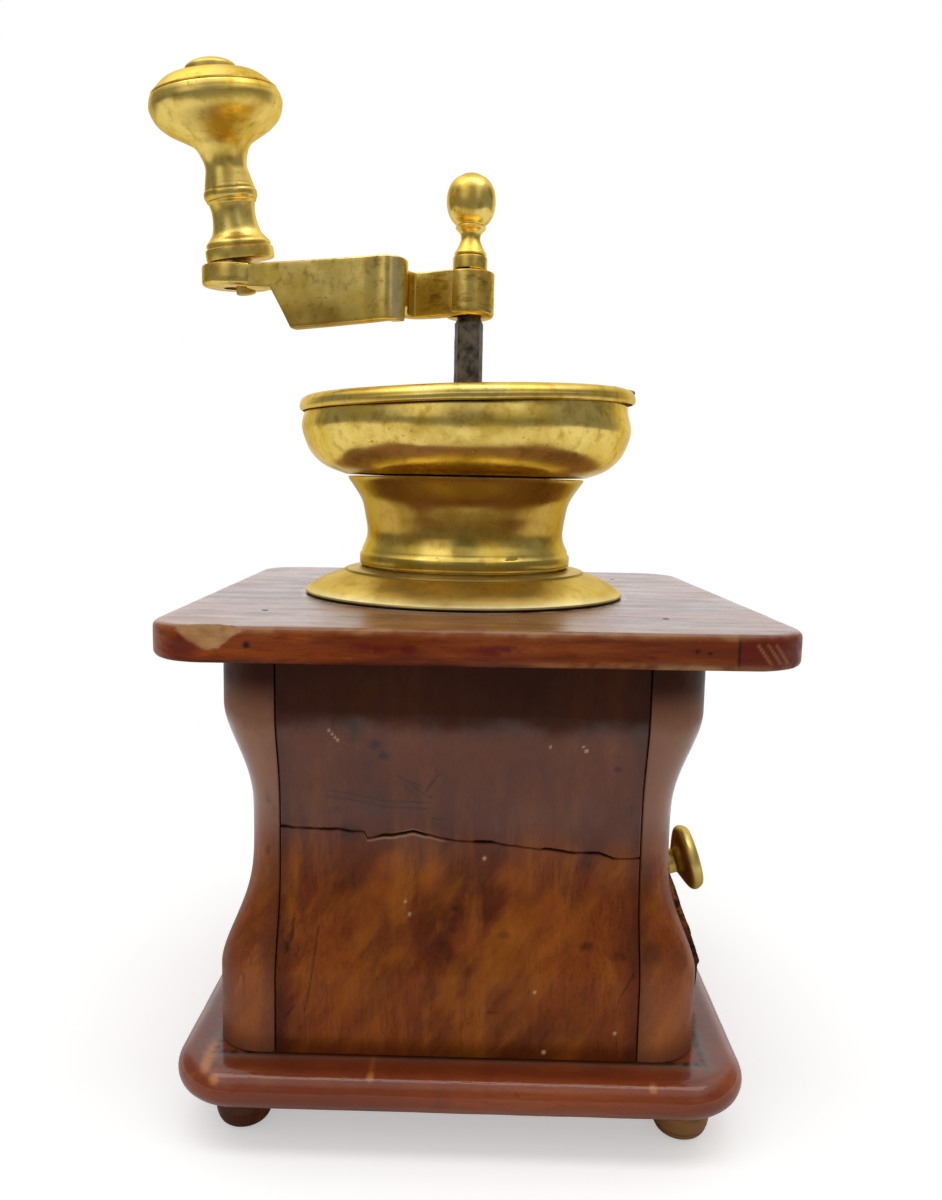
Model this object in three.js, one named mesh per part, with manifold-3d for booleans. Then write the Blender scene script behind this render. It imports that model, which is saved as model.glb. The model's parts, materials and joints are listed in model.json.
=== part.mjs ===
// Box coffee mill: a waisted wooden box on bun feet, with a drawer on its +X side, and a brass hopper
// whose crank turns an iron cone burr inside a fixed burr ring under the top board.
// Millimetres, +Z up, x = y = 0 on the shaft's axis, z = 0 on the underside of the base board.
import * as THREE from 'three';
import { mergeVertices } from 'three/addons/utils/BufferGeometryUtils.js';
import Module from 'manifold-3d';

const wasm = await Module();
wasm.setup();

// Clearances
const FIT = 0.3; // between two pieces that sit together
const RUNNING = 0.45; // around a piece that turns or slides

// Base board and feet. The box stands a little off the shaft's axis, and its base a little off the box.
const BOX_OFFSET_X = 1.3;
const BASE_OFFSET_X = 0.9;
const BASE_MARGIN = 10.1; // beyond the carcass's foot, all round
const BASE_THICKNESS = 9.1;
const BASE_CORNER = 16;
const FOOT_HEIGHT = 10.6;
const FOOT_RADIUS = 6.9;
const FOOT_TIP_RADIUS = 3.3;
const FOOT_INSET = 15;
const FEET_OFFSET_X = 0.8; // from the base board
const SPIGOT_RADIUS = 2.6;
const SPIGOT_LENGTH = 5.5;

// Carcass: four corner posts and four panels, whose outer faces are drawn in at the waist
const CARCASS_HEIGHT = 95.3;
const WAIST_HALF = 50.8;
const TOP_FLARE = 5.6; // the head's half width beyond the waist's
const BOTTOM_FLARE = 6.5;
const WAIST_WALL = 8.4;
const WAIST_ABOVE_BASE = 51;
const UPPER_STRAIGHT = 13;
const LOWER_STRAIGHT = 18;
const UPPER_SWEEP = 1.4;
const LOWER_SWEEP = 1.75;
const POST_CORNER = 11;
const SCREW_WALL = 0.8; // wood between a base screw and its post's inner faces

// Drawer
const DRAWER_FRONT_HEIGHT = 40;
const DRAWER_PROUD = 2;
const DRAWER_TOP_PROUD = 0.8;
const DRAWER_BULGE_LOW = 12;
const DRAWER_BULGE_HIGH = 19.5;
const DRAWER_FRONT_STEP = 0.6; // the drawer front's inner face beyond the carcass's
const DRAWER_BOX_HEIGHT = 35;
const DRAWER_WALL = 6;
const DRAWER_FLOOR = 4;
const DRAWER_END_GAP = 1.6;
const DRAWER_KNOB_RADIUS = 9.2;
const DRAWER_KNOB_THICKNESS = 6.6;
const DRAWER_KNOB_STEM = 3.4;
const DRAWER_KNOB_STEM_LENGTH = 3.4;
const DRAWER_KNOB_TILT = 16;
const DRAWER_KNOB_HEIGHT = 24.8;
const DRAWER_SCREW_RADIUS = 1.6;

// Board above the drawer, with the hole that the grounds fall through
const DIVIDER_THICKNESS = 4;
const DIVIDER_HOLE = 23;
const CLEAT_WIDTH = 5;
const CLEAT_HEIGHT = 4;

// Top board, a little turned and off centre
const TOP_MARGIN = 14.6; // beyond the carcass's head, all round
const TOP_THICKNESS = 7.86;
const TOP_CORNER = 12.8;
const TOP_ARRIS = 1.5;
const TOP_OFFSET_X = 2.9;
const TOP_TURN = 1.87;
const THROAT_RADIUS = 26.4;

// Brass hopper: flange, necked foot and bowl, each spun from sheet
const SHEET = 1.3;
const FLANGE_RADIUS = 43.8;
const FLANGE_STEP_RADIUS = 33;
const FLANGE_HEIGHT = 7.2;
const NECK_FOOT_RADIUS = 29.1;
const NECK_FOOT_BAND = 3.5;
const NECK_WAIST_RADIUS = 27.1;
const NECK_WAIST_ABOVE_FLANGE = 11;
const NECK_LIP_RADIUS = 32.4;
const NECK_HEIGHT = 24;
const BOWL_RADIUS = 44.8;
const BOWL_RIM_INSET = 1;
const BOWL_BELLY = 3.4; // from its widest down to where the side turns in
const BOWL_HEIGHT = 19.4;
const BOWL_WIDEST = 13.2;

// Lid: a cover with a half-moon window at the back, and a shutter that turns over it about the shaft.
// It lies askew on the bowl's rim.
const LID_OVERHANG = 0.75; // beyond the bowl's widest
const LID_SKIRT = 4.1;
const LID_SHEET = 0.8;
const LID_TILT_RIGHT = 2.1;
const LID_TILT_BACK = 1.8;
const WINDOW_RIM = 8.55; // of the cover, outside the window
const WINDOW_INNER_RADIUS = 10;
const WINDOW_BAND = 4; // of the cover, left between the window and the line through the shaft
const SHUTTER_OVERLAP = 4; // beyond the window's outer edge
const SHUTTER_HUB_RADIUS = 8;
const HANDLE_RADIUS = 0.8;
const HANDLE_LENGTH = 6.4;
const HANDLE_DROOP = 14;
const HANDLE_TURN = 9; // from +X

// Iron shaft: octagonal above its bearing, round below
const SHAFT_RADIUS = 3.95;
const TANG_RADIUS = 3;
const STUD_RADIUS = 2.2;
const STUD_LENGTH = 9;
const BRIDGE_WIDTH = 9;
const BRIDGE_THICKNESS = 2.6;
const BRIDGE_BOSS_RADIUS = 7.6;
const BRIDGE_BOSS_HEIGHT = 6.5;
const RIVET_RADIUS = 1.5;

// Burrs and their carrier under the top board
const BURR_HEIGHT = 22.5;
const BURR_RING_WALL = 3.4;
const BURR_EAR = 4.7; // round each fixing screw
const BURR_FLANGE_RIM = 4.5;
const BURR_FLANGE_THICKNESS = 3;
const BURR_TEETH = 14;
const BURR_TOOTH_DEPTH = 1.3;
const BURR_TWIST = 24;
const CONE_BOTTOM_RADIUS = 16;
const CONE_TOP_RADIUS = 8;
const GRIND_GAP = 1;
const FIXING_TURN = 45; // the ears and the stirrup lie on the box's diagonal
const STIRRUP_DROP = 22;
const STIRRUP_WIDTH = 11;
const STIRRUP_THICKNESS = 3;
const ADJUSTER_RADIUS = 3;
const ADJUSTER_LENGTH = 19;
const WING_SPAN = 19;
const NUT_RADIUS = 5.6;
const NUT_THICKNESS = 4;
const SCREW_RADIUS = 1.9;
const SCREW_HEAD_RADIUS = 3.6;
const NAIL_RADIUS = 0.9;

// Crank: a strap on edge between a boss and an eye
const CRANK_CLEARANCE = 23.34; // from the bowl's rim up to the boss
const BOSS_RADIUS = 6.65;
const BOSS_HEIGHT = 11.9;
const STRAP = 3.6;
const PLATE_DROP = 4.4;
const EYE_X = -63.2;
const EYE_Y = -0.6;
const EYE_RADIUS = 9.1;
const EYE_HEIGHT = 5.9;
const ARM_ROUNDING = 1.2; // at the lower edges of the eye and the boss
const KNOB_LEAN_OUT = 7.1;
const KNOB_LEAN_FRONT = 8.5;
const KNOB_AXIS_INSET = 1.6; // from the eye's centre toward the shaft
const KNOB_FOOT_RADIUS = 9;
const KNOB_RADIUS = 17;
const KNOB_TOP = 47.2;
const SPINDLE_RADIUS = 2.6;
const SPINDLE_CAP_RADIUS = 6.5;
const SPINDLE_CAP_HEIGHT = 3.9;
const FINIAL_BALL = 6.57;
const FINIAL_HEIGHT = 25.1;

// Heights that follow from the stack
const baseTop = BASE_THICKNESS;
const carcassBottom = baseTop + FIT;
const carcassTop = baseTop + CARCASS_HEIGHT;
const boardBottom = carcassTop + FIT;
const boardTop = boardBottom + TOP_THICKNESS;
const flangeTop = boardTop + FIT + FLANGE_HEIGHT;
const neckBottom = flangeTop + FIT;
const neckTop = neckBottom + NECK_HEIGHT;
const bowlBottom = neckTop + FIT;
const bowlTop = bowlBottom + BOWL_HEIGHT;
const waistZ = baseTop + WAIST_ABOVE_BASE;
const bossBottom = bowlTop + CRANK_CLEARANCE;
const bossTop = bossBottom + BOSS_HEIGHT;
const drawerBottom = baseTop + RUNNING;
const drawerFrontTop = drawerBottom + DRAWER_FRONT_HEIGHT;

// Half widths that follow from the waist
const innerHalf = WAIST_HALF - WAIST_WALL;
const topHalf = WAIST_HALF + TOP_FLARE;
const bottomHalf = WAIST_HALF + BOTTOM_FLARE;
const baseHalf = bottomHalf + BASE_MARGIN;
const postInner = innerHalf + FIT / 2;
const panelEnd = innerHalf - FIT / 2;
const bowlRimRadius = BOWL_RADIUS - BOWL_RIM_INSET;

// Materials
const finish = (color, roughness, metalness) =>
  new THREE.MeshStandardMaterial({ color, roughness, metalness });
const stainedWood = finish('#6b2a14', 0.35, 0);
const wornWood = finish('#7a3f1c', 0.55, 0);
const rawWood = finish('#a5794c', 0.8, 0);
const brass = finish('#b08f3a', 0.28, 1);
const dullBrass = finish('#8d7a36', 0.42, 1);
const iron = finish('#3b3734', 0.5, 0.9);
const castIron = finish('#2b2a29', 0.65, 0.8);

// Geometry helpers

// One closed mesh on shared vertices, with its faces turned outward.
function weld(geometry) {
  const bare = geometry.index ? geometry.clone() : geometry;
  bare.deleteAttribute('normal');
  bare.deleteAttribute('uv');
  const merged = mergeVertices(bare, 1e-4);
  const position = merged.attributes.position;
  const kept = [];
  let volume = 0;
  const [a, b, c] = [new THREE.Vector3(), new THREE.Vector3(), new THREE.Vector3()];
  for (let i = 0; i < merged.index.count; i += 3) {
    const [p, q, r] = [merged.index.getX(i), merged.index.getX(i + 1), merged.index.getX(i + 2)];
    if (p === q || q === r || r === p) continue;
    kept.push(p, q, r);
    a.fromBufferAttribute(position, p);
    b.fromBufferAttribute(position, q);
    c.fromBufferAttribute(position, r);
    volume += a.dot(b.cross(c));
  }
  if (volume < 0) kept.reverse();
  merged.setIndex(kept);
  return merged;
}

function toSolid(geometry) {
  const welded = weld(geometry);
  return new wasm.Manifold(new wasm.Mesh({
    numProp: 3,
    vertProperties: new Float32Array(welded.attributes.position.array),
    triVerts: new Uint32Array(welded.index.array),
  }));
}

function toGeometry(solid) {
  const mesh = solid.getMesh();
  const geometry = new THREE.BufferGeometry();
  geometry.setAttribute('position', new THREE.BufferAttribute(mesh.vertProperties, 3));
  geometry.setIndex(new THREE.BufferAttribute(mesh.triVerts, 1));
  return geometry;
}

const join = (...solids) => solids.reduce((sum, s) => sum.add(s));
const cut = (body, ...tools) => tools.reduce((rest, t) => rest.subtract(t), body);

// A closed body through rings of points, each ring with the same count, capped at both ends.
function loft(rings) {
  const count = rings[0].length;
  const positions = rings.flat(2);
  const index = [];
  for (let k = 0; k + 1 < rings.length; k++) {
    for (let i = 0; i < count; i++) {
      const j = (i + 1) % count;
      const [a, b] = [k * count + i, k * count + j];
      index.push(a, b, b + count, a, b + count, a + count);
    }
  }
  const last = (rings.length - 1) * count;
  const cap = (ring) => THREE.ShapeUtils.triangulateShape(ring.map(([x, y]) => new THREE.Vector2(x, y)), []);
  for (const [a, b, c] of cap(rings[0])) index.push(c, b, a);
  for (const [a, b, c] of cap(rings[rings.length - 1])) index.push(last + a, last + b, last + c);
  const geometry = new THREE.BufferGeometry();
  geometry.setAttribute('position', new THREE.Float32BufferAttribute(positions, 3));
  geometry.setIndex(index);
  return toSolid(geometry);
}

// A body turned about Z from a list of [radius, z].
function turned(profile, segments = 48) {
  const points = profile.map(([r, z]) => new THREE.Vector2(r, z));
  const onAxis = profile[0][0] === 0 && profile[profile.length - 1][0] === 0;
  if (!onAxis) points.push(points[0].clone());
  return toSolid(new THREE.LatheGeometry(points, segments).rotateX(Math.PI / 2));
}

// Points on a smooth curve through a few control points.
function smooth(controls, count) {
  const curve = new THREE.SplineCurve(controls.map(([r, z]) => new THREE.Vector2(r, z)));
  return curve.getPoints(count).map((p) => [p.x, p.y]);
}

const rod = (radius, z0, z1, x = 0, y = 0, segments = 20) =>
  toSolid(new THREE.CylinderGeometry(radius, radius, z1 - z0, segments)
    .rotateX(Math.PI / 2).translate(x, y, (z0 + z1) / 2));

const rodAlongX = (radius, x0, x1, y, z, segments = 16) =>
  toSolid(new THREE.CylinderGeometry(radius, radius, x1 - x0, segments)
    .rotateZ(Math.PI / 2).translate((x0 + x1) / 2, y, z));

const block = (x0, x1, y0, y1, z0, z1) =>
  toSolid(new THREE.BoxGeometry(x1 - x0, y1 - y0, z1 - z0)
    .translate((x0 + x1) / 2, (y0 + y1) / 2, (z0 + z1) / 2));

// An outline of [x, y] drawn up from z0 to z1.
function upright(outline, z0, z1) {
  const shape = new THREE.Shape(outline.map(([x, y]) => new THREE.Vector2(x, y)));
  return toSolid(new THREE.ExtrudeGeometry(shape, { depth: z1 - z0, bevelEnabled: false })
    .translate(0, 0, z0));
}

// An outline of [x, z] drawn along y from y0 to y1.
function sideways(outline, y0, y1) {
  const shape = new THREE.Shape(outline.map(([x, z]) => new THREE.Vector2(x, z)));
  return toSolid(new THREE.ExtrudeGeometry(shape, { depth: y1 - y0, bevelEnabled: false })
    .rotateX(Math.PI / 2).translate(0, y1, 0));
}

// A ring of points round a square with rounded corners.
function squareRing(half, corner, z, steps = 6) {
  const ring = [];
  for (let quarter = 0; quarter < 4; quarter++) {
    for (let i = 0; i <= steps; i++) {
      const angle = (quarter + i / steps) * Math.PI / 2;
      const turn = (quarter + 0.5) * Math.PI / 2;
      const centre = (half - corner) * Math.SQRT2;
      ring.push([
        Math.cos(turn) * centre + Math.cos(angle) * corner,
        Math.sin(turn) * centre + Math.sin(angle) * corner,
        z,
      ]);
    }
  }
  return ring;
}

// The tree of the object. A Mesh sits in the group of the piece that carries it.
const grinder = new THREE.Group();
const box = new THREE.Group();
const drawer = new THREE.Group();
const lid = new THREE.Group();
const crank = new THREE.Group();
const crankKnob = new THREE.Group();

function piece(parent, name, solid, material) {
  const mesh = new THREE.Mesh(toGeometry(solid), material);
  mesh.name = name;
  parent.add(mesh);
  return mesh;
}

grinder.add(box, lid, crank);
box.add(drawer);
crank.add(crankKnob);
box.position.x = BOX_OFFSET_X;

// Base board with a full round edge, and blind holes for the feet's spigots
function makeBase() {
  const steps = 7;
  const rings = [];
  for (let i = 0; i <= steps; i++) {
    const angle = Math.PI * (i / steps);
    const inset = (1 - Math.sin(angle)) * BASE_THICKNESS / 2;
    const z = (1 - Math.cos(angle)) * BASE_THICKNESS / 2;
    rings.push(squareRing(baseHalf - inset, BASE_CORNER - inset, z, 7));
  }
  const holes = footPlaces.map(([x, y]) => rod(SPIGOT_RADIUS + FIT, -1, SPIGOT_LENGTH + FIT, x, y, 12));
  return cut(loft(rings).translate([BASE_OFFSET_X, 0, 0]), ...holes, ...postScrews(FIT));
}

// Gives the middle of the underside, where the frame's origin lies, a small face of its own.
function addMiddleFace(mesh) {
  const share = 0.6; // of the large face around it
  const middle = new THREE.Vector3(-BOX_OFFSET_X, 0, 0);
  const position = Array.from(mesh.geometry.attributes.position.array);
  const index = Array.from(mesh.geometry.index.array);
  const point = (v) => new THREE.Vector3(...position.slice(v * 3, v * 3 + 3));
  const onUnderside = (v) => Math.abs(point(v).z) < 1e-4;
  for (let i = 0; i < index.length; i += 3) {
    const [a, b, c] = index.slice(i, i + 3);
    if (![a, b, c].every(onUnderside)) continue;
    if (!new THREE.Triangle(point(a), point(b), point(c)).containsPoint(middle)) continue;
    const d = position.length / 3;
    const [e, f] = [d + 1, d + 2];
    for (const corner of [a, b, c]) position.push(...middle.clone().lerp(point(corner), share).toArray());
    index.splice(i, 3, d, e, f, a, b, e, a, e, d, b, c, f, b, f, e, c, a, d, c, d, f);
    break;
  }
  mesh.geometry.setAttribute('position', new THREE.Float32BufferAttribute(position, 3));
  mesh.geometry.setIndex(index);
}

const corners = ['front_left', 'front_right', 'rear_left', 'rear_right'];
const atCorners = (half, x = 0) => [[x - half, -half], [x + half, -half], [x - half, half], [x + half, half]];
const footPlaces = atCorners(baseHalf - FOOT_INSET, BASE_OFFSET_X + FEET_OFFSET_X);
const postPlaces = atCorners((innerHalf + WAIST_HALF) / 2);
const screwPlaces = atCorners(postInner + SCREW_WALL + SCREW_RADIUS + FIT);

// Wood screws from under the base up into the posts, with their heads let in flush
function postScrews(grow) {
  const head = 2;
  const tip = baseTop + 12;
  const profile = [
    [0, -grow], [SCREW_HEAD_RADIUS * 0.95 + grow, -grow], [SCREW_HEAD_RADIUS + grow, 0.3],
    [SCREW_RADIUS + grow, head + grow], [SCREW_RADIUS + grow, tip - 3], [0, tip + grow],
  ];
  return screwPlaces.map(([x, y]) => turned(profile, 10).translate([x, y, FIT]));
}

// Nails from above through the top board into the posts
function topNails(grow) {
  const depth = TOP_THICKNESS + 14;
  const profile = [
    [0, -depth - grow], [NAIL_RADIUS * 0.6 + grow, -depth - grow], [NAIL_RADIUS + grow, -0.2],
    [NAIL_RADIUS + grow, grow], [0, grow],
  ];
  return postPlaces.map(([x, y]) => turned(profile, 8).translate([x, y, boardTop]));
}

// Half width of the carcass at a height: straight, drawn in at the waist, straight again
function carcassHalf(z) {
  const ease = (t) => t * t * (3 - 2 * t);
  if (z >= waistZ) {
    const t = Math.min((z - waistZ) / (carcassTop - UPPER_STRAIGHT - waistZ), 1);
    return WAIST_HALF + (topHalf - WAIST_HALF) * ease(t ** UPPER_SWEEP);
  }
  const t = Math.min((waistZ - z) / (waistZ - baseTop - LOWER_STRAIGHT), 1);
  return WAIST_HALF + (bottomHalf - WAIST_HALF) * ease(t ** LOWER_SWEEP);
}

function makeCarcassBlank() {
  const rings = [];
  const lowTurn = baseTop + LOWER_STRAIGHT;
  const highTurn = carcassTop - UPPER_STRAIGHT;
  const heights = [carcassBottom];
  const steps = 7;
  for (let i = 0; i <= steps; i++) heights.push(lowTurn + (waistZ - lowTurn) * i / steps);
  for (let i = 1; i <= steps; i++) heights.push(waistZ + (highTurn - waistZ) * i / steps);
  heights.push(carcassTop);
  for (const z of heights) rings.push(squareRing(carcassHalf(z), POST_CORNER, z, 4));
  return loft(rings);
}

const far = baseHalf * 2;
const blank = makeCarcassBlank();
const postHoles = [...postScrews(FIT), ...topNails(FIT)];
const cornerColumn = (sx, sy) => {
  const xs = [sx * postInner, sx * far].sort((a, b) => a - b);
  const ys = [sy * postInner, sy * far].sort((a, b) => a - b);
  return block(...xs, ...ys, 0, far);
};
const post = (sx, sy) => cut(blank.intersect(cornerColumn(sx, sy)), ...postHoles);

addMiddleFace(piece(box, 'base_board', makeBase(), stainedWood));
piece(box, 'post_front_left', post(-1, -1), stainedWood);
piece(box, 'post_front_right', post(1, -1), stainedWood);
piece(box, 'post_rear_left', post(-1, 1), stainedWood);
piece(box, 'post_rear_right', post(1, 1), stainedWood);
piece(box, 'front_panel', blank.intersect(block(-panelEnd, panelEnd, -far, -innerHalf, 0, far)), stainedWood);
piece(box, 'rear_panel', blank.intersect(block(-panelEnd, panelEnd, innerHalf, far, 0, far)), stainedWood);
piece(box, 'left_panel', blank.intersect(block(-far, -innerHalf, -panelEnd, panelEnd, 0, far)), stainedWood);

const openingTop = drawerFrontTop + RUNNING * 2;
piece(box, 'right_panel', blank.intersect(block(innerHalf, far, -panelEnd, panelEnd, openingTop, far)), stainedWood);
postScrews(0).forEach((screw, i) => piece(box, `base_screw_${corners[i]}`, screw, iron));
topNails(0).forEach((nail, i) => piece(box, `top_nail_${corners[i]}`, nail, iron));

// Bun feet, each with a spigot glued into the base
function foot() {
  const profile = smooth([
    [FOOT_TIP_RADIUS, -FOOT_HEIGHT], [FOOT_RADIUS * 0.86, -FOOT_HEIGHT * 0.85],
    [FOOT_RADIUS, -FOOT_HEIGHT * 0.5], [FOOT_RADIUS * 0.9, -FIT],
  ], 6);
  return turned([[0, -FOOT_HEIGHT], ...profile, [SPIGOT_RADIUS, -FIT],
    [SPIGOT_RADIUS, SPIGOT_LENGTH], [0, SPIGOT_LENGTH]], 18);
}
corners.forEach((corner, i) => piece(box, `foot_${corner}`, foot(), wornWood).position.set(...footPlaces[i], 0));

// Board above the drawer on two cleats
const cleatBottom = openingTop - CLEAT_HEIGHT;
const dividerBottom = openingTop + FIT;
const dividerTop = dividerBottom + DIVIDER_THICKNESS;
const dividerHalf = innerHalf - FIT;
const dividerHole = turned([
  [0, dividerBottom - 1], [DIVIDER_HOLE, dividerBottom - 1], [DIVIDER_HOLE, dividerBottom],
  [DIVIDER_HOLE + DIVIDER_THICKNESS, dividerTop], [DIVIDER_HOLE + DIVIDER_THICKNESS, dividerTop + 1],
  [0, dividerTop + 1],
], 28);
piece(box, 'divider_board',
  cut(block(-dividerHalf, dividerHalf, -dividerHalf, dividerHalf, dividerBottom, dividerTop),
    dividerHole.translate([-BOX_OFFSET_X, 0, 0])), rawWood);
piece(box, 'cleat_front',
  block(-dividerHalf, dividerHalf, -dividerHalf, CLEAT_WIDTH - dividerHalf, cleatBottom, openingTop), rawWood);
piece(box, 'cleat_rear',
  block(-dividerHalf, dividerHalf, dividerHalf - CLEAT_WIDTH, dividerHalf, cleatBottom, openingTop), rawWood);

// Drawer
const drawerHalf = innerHalf - RUNNING * 2;
const frontInner = innerHalf + DRAWER_FRONT_STEP;
const drawerBack = -innerHalf + DRAWER_END_GAP;
const drawerBoxTop = drawerBottom + DRAWER_BOX_HEIGHT;
const boxFront = frontInner - FIT;
const bulge = bottomHalf + DRAWER_PROUD;
const frontFace = [
  [frontInner, drawerBottom],
  [bottomHalf - 0.4, drawerBottom],
  [bottomHalf + DRAWER_PROUD * 0.5, drawerBottom + DRAWER_BULGE_LOW * 0.5],
  [bulge - 0.2, drawerBottom + DRAWER_BULGE_LOW],
  [bulge, (DRAWER_BULGE_LOW + DRAWER_BULGE_HIGH) / 2 + drawerBottom],
  [bulge - 0.3, drawerBottom + DRAWER_BULGE_HIGH],
  [WAIST_HALF + DRAWER_TOP_PROUD, drawerFrontTop - 0.8],
  [WAIST_HALF, drawerFrontTop],
  [frontInner, drawerFrontTop],
];

// Brass knob on the sloping upper half of the drawer front
const slopeRise = drawerFrontTop - 0.8 - drawerBottom - DRAWER_BULGE_HIGH;
const slopeRun = bulge - 0.3 - WAIST_HALF - DRAWER_TOP_PROUD;
const knobZ = drawerBottom + DRAWER_KNOB_HEIGHT;
const knobX = bulge - 0.3 - slopeRun * (DRAWER_KNOB_HEIGHT - DRAWER_BULGE_HIGH) / slopeRise;
const knobFoot = 1.2;
const discStart = knobFoot + DRAWER_KNOB_STEM_LENGTH;
const knobProfile = [
  [0, knobFoot], [DRAWER_KNOB_STEM + 1.2, knobFoot], [DRAWER_KNOB_STEM, knobFoot + 1.2],
  ...smooth([
    [DRAWER_KNOB_STEM, discStart], [DRAWER_KNOB_RADIUS * 0.75, discStart + DRAWER_KNOB_THICKNESS * 0.18],
    [DRAWER_KNOB_RADIUS, discStart + DRAWER_KNOB_THICKNESS * 0.55],
    [DRAWER_KNOB_RADIUS * 0.8, discStart + DRAWER_KNOB_THICKNESS * 0.93],
    [DRAWER_KNOB_RADIUS * 0.4, discStart + DRAWER_KNOB_THICKNESS],
  ], 8),
  [0, discStart + DRAWER_KNOB_THICKNESS],
];
const boltBack = 15;
const boltDepth = discStart - 0.8;
const drawerBolt = (grow) => turned([
  [0, -boltBack - grow], [SCREW_HEAD_RADIUS + grow, -boltBack - grow],
  [SCREW_HEAD_RADIUS + grow, -boltBack + 2 + grow], [DRAWER_SCREW_RADIUS + grow, -boltBack + 2 + grow],
  [DRAWER_SCREW_RADIUS + grow, boltDepth + grow], [0, boltDepth + grow],
], 12);
const aimOut = (solid) => solid.rotate([0, 90 - DRAWER_KNOB_TILT, 0]).translate([knobX, 0, knobZ]);
const boltTunnel = turned([
  [0, -boltBack - 12], [SCREW_HEAD_RADIUS + FIT, -boltBack - 12],
  [SCREW_HEAD_RADIUS + FIT, -boltBack + 2 + FIT], [DRAWER_SCREW_RADIUS + FIT, -boltBack + 2 + FIT],
  [DRAWER_SCREW_RADIUS + FIT, 6], [0, 6],
], 12);

piece(drawer, 'drawer_front',
  cut(sideways(frontFace, -drawerHalf, drawerHalf), aimOut(boltTunnel)), wornWood);
const side = (y0, y1) => block(drawerBack, boxFront, y0, y1, drawerBottom, drawerBoxTop);
const wallInner = drawerHalf - DRAWER_WALL;
piece(drawer, 'drawer_side_front', side(-drawerHalf, -wallInner), rawWood);
piece(drawer, 'drawer_side_rear', side(wallInner, drawerHalf), rawWood);
const between = wallInner - FIT;
piece(drawer, 'drawer_back',
  block(drawerBack, drawerBack + DRAWER_WALL, -between, between, drawerBottom, drawerBoxTop), rawWood);
piece(drawer, 'drawer_bottom',
  block(drawerBack + DRAWER_WALL + FIT, boxFront, -between, between, drawerBottom,
    drawerBottom + DRAWER_FLOOR), rawWood);
piece(drawer, 'drawer_knob', aimOut(cut(turned(knobProfile, 24), drawerBolt(FIT))), dullBrass);
piece(drawer, 'drawer_knob_screw', aimOut(drawerBolt(0)), iron);

// Top board, turned a little, with the throat cut on the shaft's axis
function makeTopBoard() {
  const half = topHalf + TOP_MARGIN;
  const rings = [
    squareRing(half - TOP_ARRIS, TOP_CORNER - TOP_ARRIS, boardBottom),
    squareRing(half - TOP_ARRIS * 0.3, TOP_CORNER - TOP_ARRIS * 0.3, boardBottom + TOP_ARRIS * 0.3),
    squareRing(half, TOP_CORNER, boardBottom + TOP_ARRIS),
    squareRing(half, TOP_CORNER, boardTop - TOP_ARRIS),
    squareRing(half - TOP_ARRIS * 0.3, TOP_CORNER - TOP_ARRIS * 0.3, boardTop - TOP_ARRIS * 0.3),
    squareRing(half - TOP_ARRIS, TOP_CORNER - TOP_ARRIS, boardTop),
  ];
  const board = loft(rings).rotate([0, 0, TOP_TURN]).translate([TOP_OFFSET_X, 0, 0]);
  const throat = rod(THROAT_RADIUS, boardBottom - 1, boardTop + 1, 0, 0, 36);
  const nailHoles = topNails(FIT).map((nail) => nail.translate([BOX_OFFSET_X, 0, 0]));
  return cut(board, throat, ...burrScrews(FIT), ...nailHoles);
}

// Screws that hold the burr ring and the stirrup under the board
const ringOuter = THROAT_RADIUS - FIT;
const legIn = ringOuter + RUNNING;
const legOut = legIn + STIRRUP_THICKNESS;
const screwCircle = legOut + SCREW_HEAD_RADIUS;
const burrEarEnd = screwCircle + BURR_EAR;
const burrFlangeRadius = ringOuter + BURR_FLANGE_RIM;
const flangeZ = boardBottom - FIT - BURR_FLANGE_THICKNESS;
const onDiagonal = (solid) => solid.rotate([0, 0, FIXING_TURN]);
const stirrupTop = flangeZ - FIT;
function burrScrews(grow) {
  const head = stirrupTop - STIRRUP_THICKNESS - FIT;
  const tip = boardTop - 2;
  return [-screwCircle, screwCircle].map((x) => onDiagonal(turned([
    [0, head - 2 - grow], [SCREW_HEAD_RADIUS * 0.7 + grow, head - 2 - grow],
    [SCREW_HEAD_RADIUS * 0.9 + grow, head],
    [SCREW_RADIUS * 0.9 + grow, head], [SCREW_RADIUS * 0.9 + grow, tip - 2], [0, tip + grow],
  ], 12).translate([x, 0, 0])));
}

piece(grinder, 'top_board', makeTopBoard(), stainedWood);

// Burr ring: a toothed taper with a flange screwed under the board
function star(radius, z, turn, depth) {
  const ring = [];
  for (let i = 0; i < BURR_TEETH * 2; i++) {
    const angle = (i / (BURR_TEETH * 2)) * Math.PI * 2 + turn;
    const r = radius - (i % 2) * depth;
    ring.push([Math.cos(angle) * r, Math.sin(angle) * r, z]);
  }
  return ring;
}
const burrTop = boardTop - FIT;
const burrBottom = burrTop - BURR_HEIGHT;
const ringGrindRadius = CONE_BOTTOM_RADIUS + GRIND_GAP + BURR_TOOTH_DEPTH;
const ringTopRadius = ringOuter - BURR_RING_WALL;
const twist = THREE.MathUtils.degToRad(BURR_TWIST);
const ringBlank = turned([
  [ringGrindRadius - BURR_TOOTH_DEPTH - 3, burrBottom], [ringOuter - 2, burrBottom], [ringOuter, burrBottom + 3],
  [ringOuter, flangeZ], [burrFlangeRadius, flangeZ], [burrFlangeRadius, boardBottom - FIT],
  [ringOuter, boardBottom - FIT], [ringOuter, burrTop], [ringGrindRadius - BURR_TOOTH_DEPTH - 3, burrTop],
], 32);
const ringMiddleRadius = ringGrindRadius + (ringTopRadius - ringGrindRadius) * 0.4;
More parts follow.
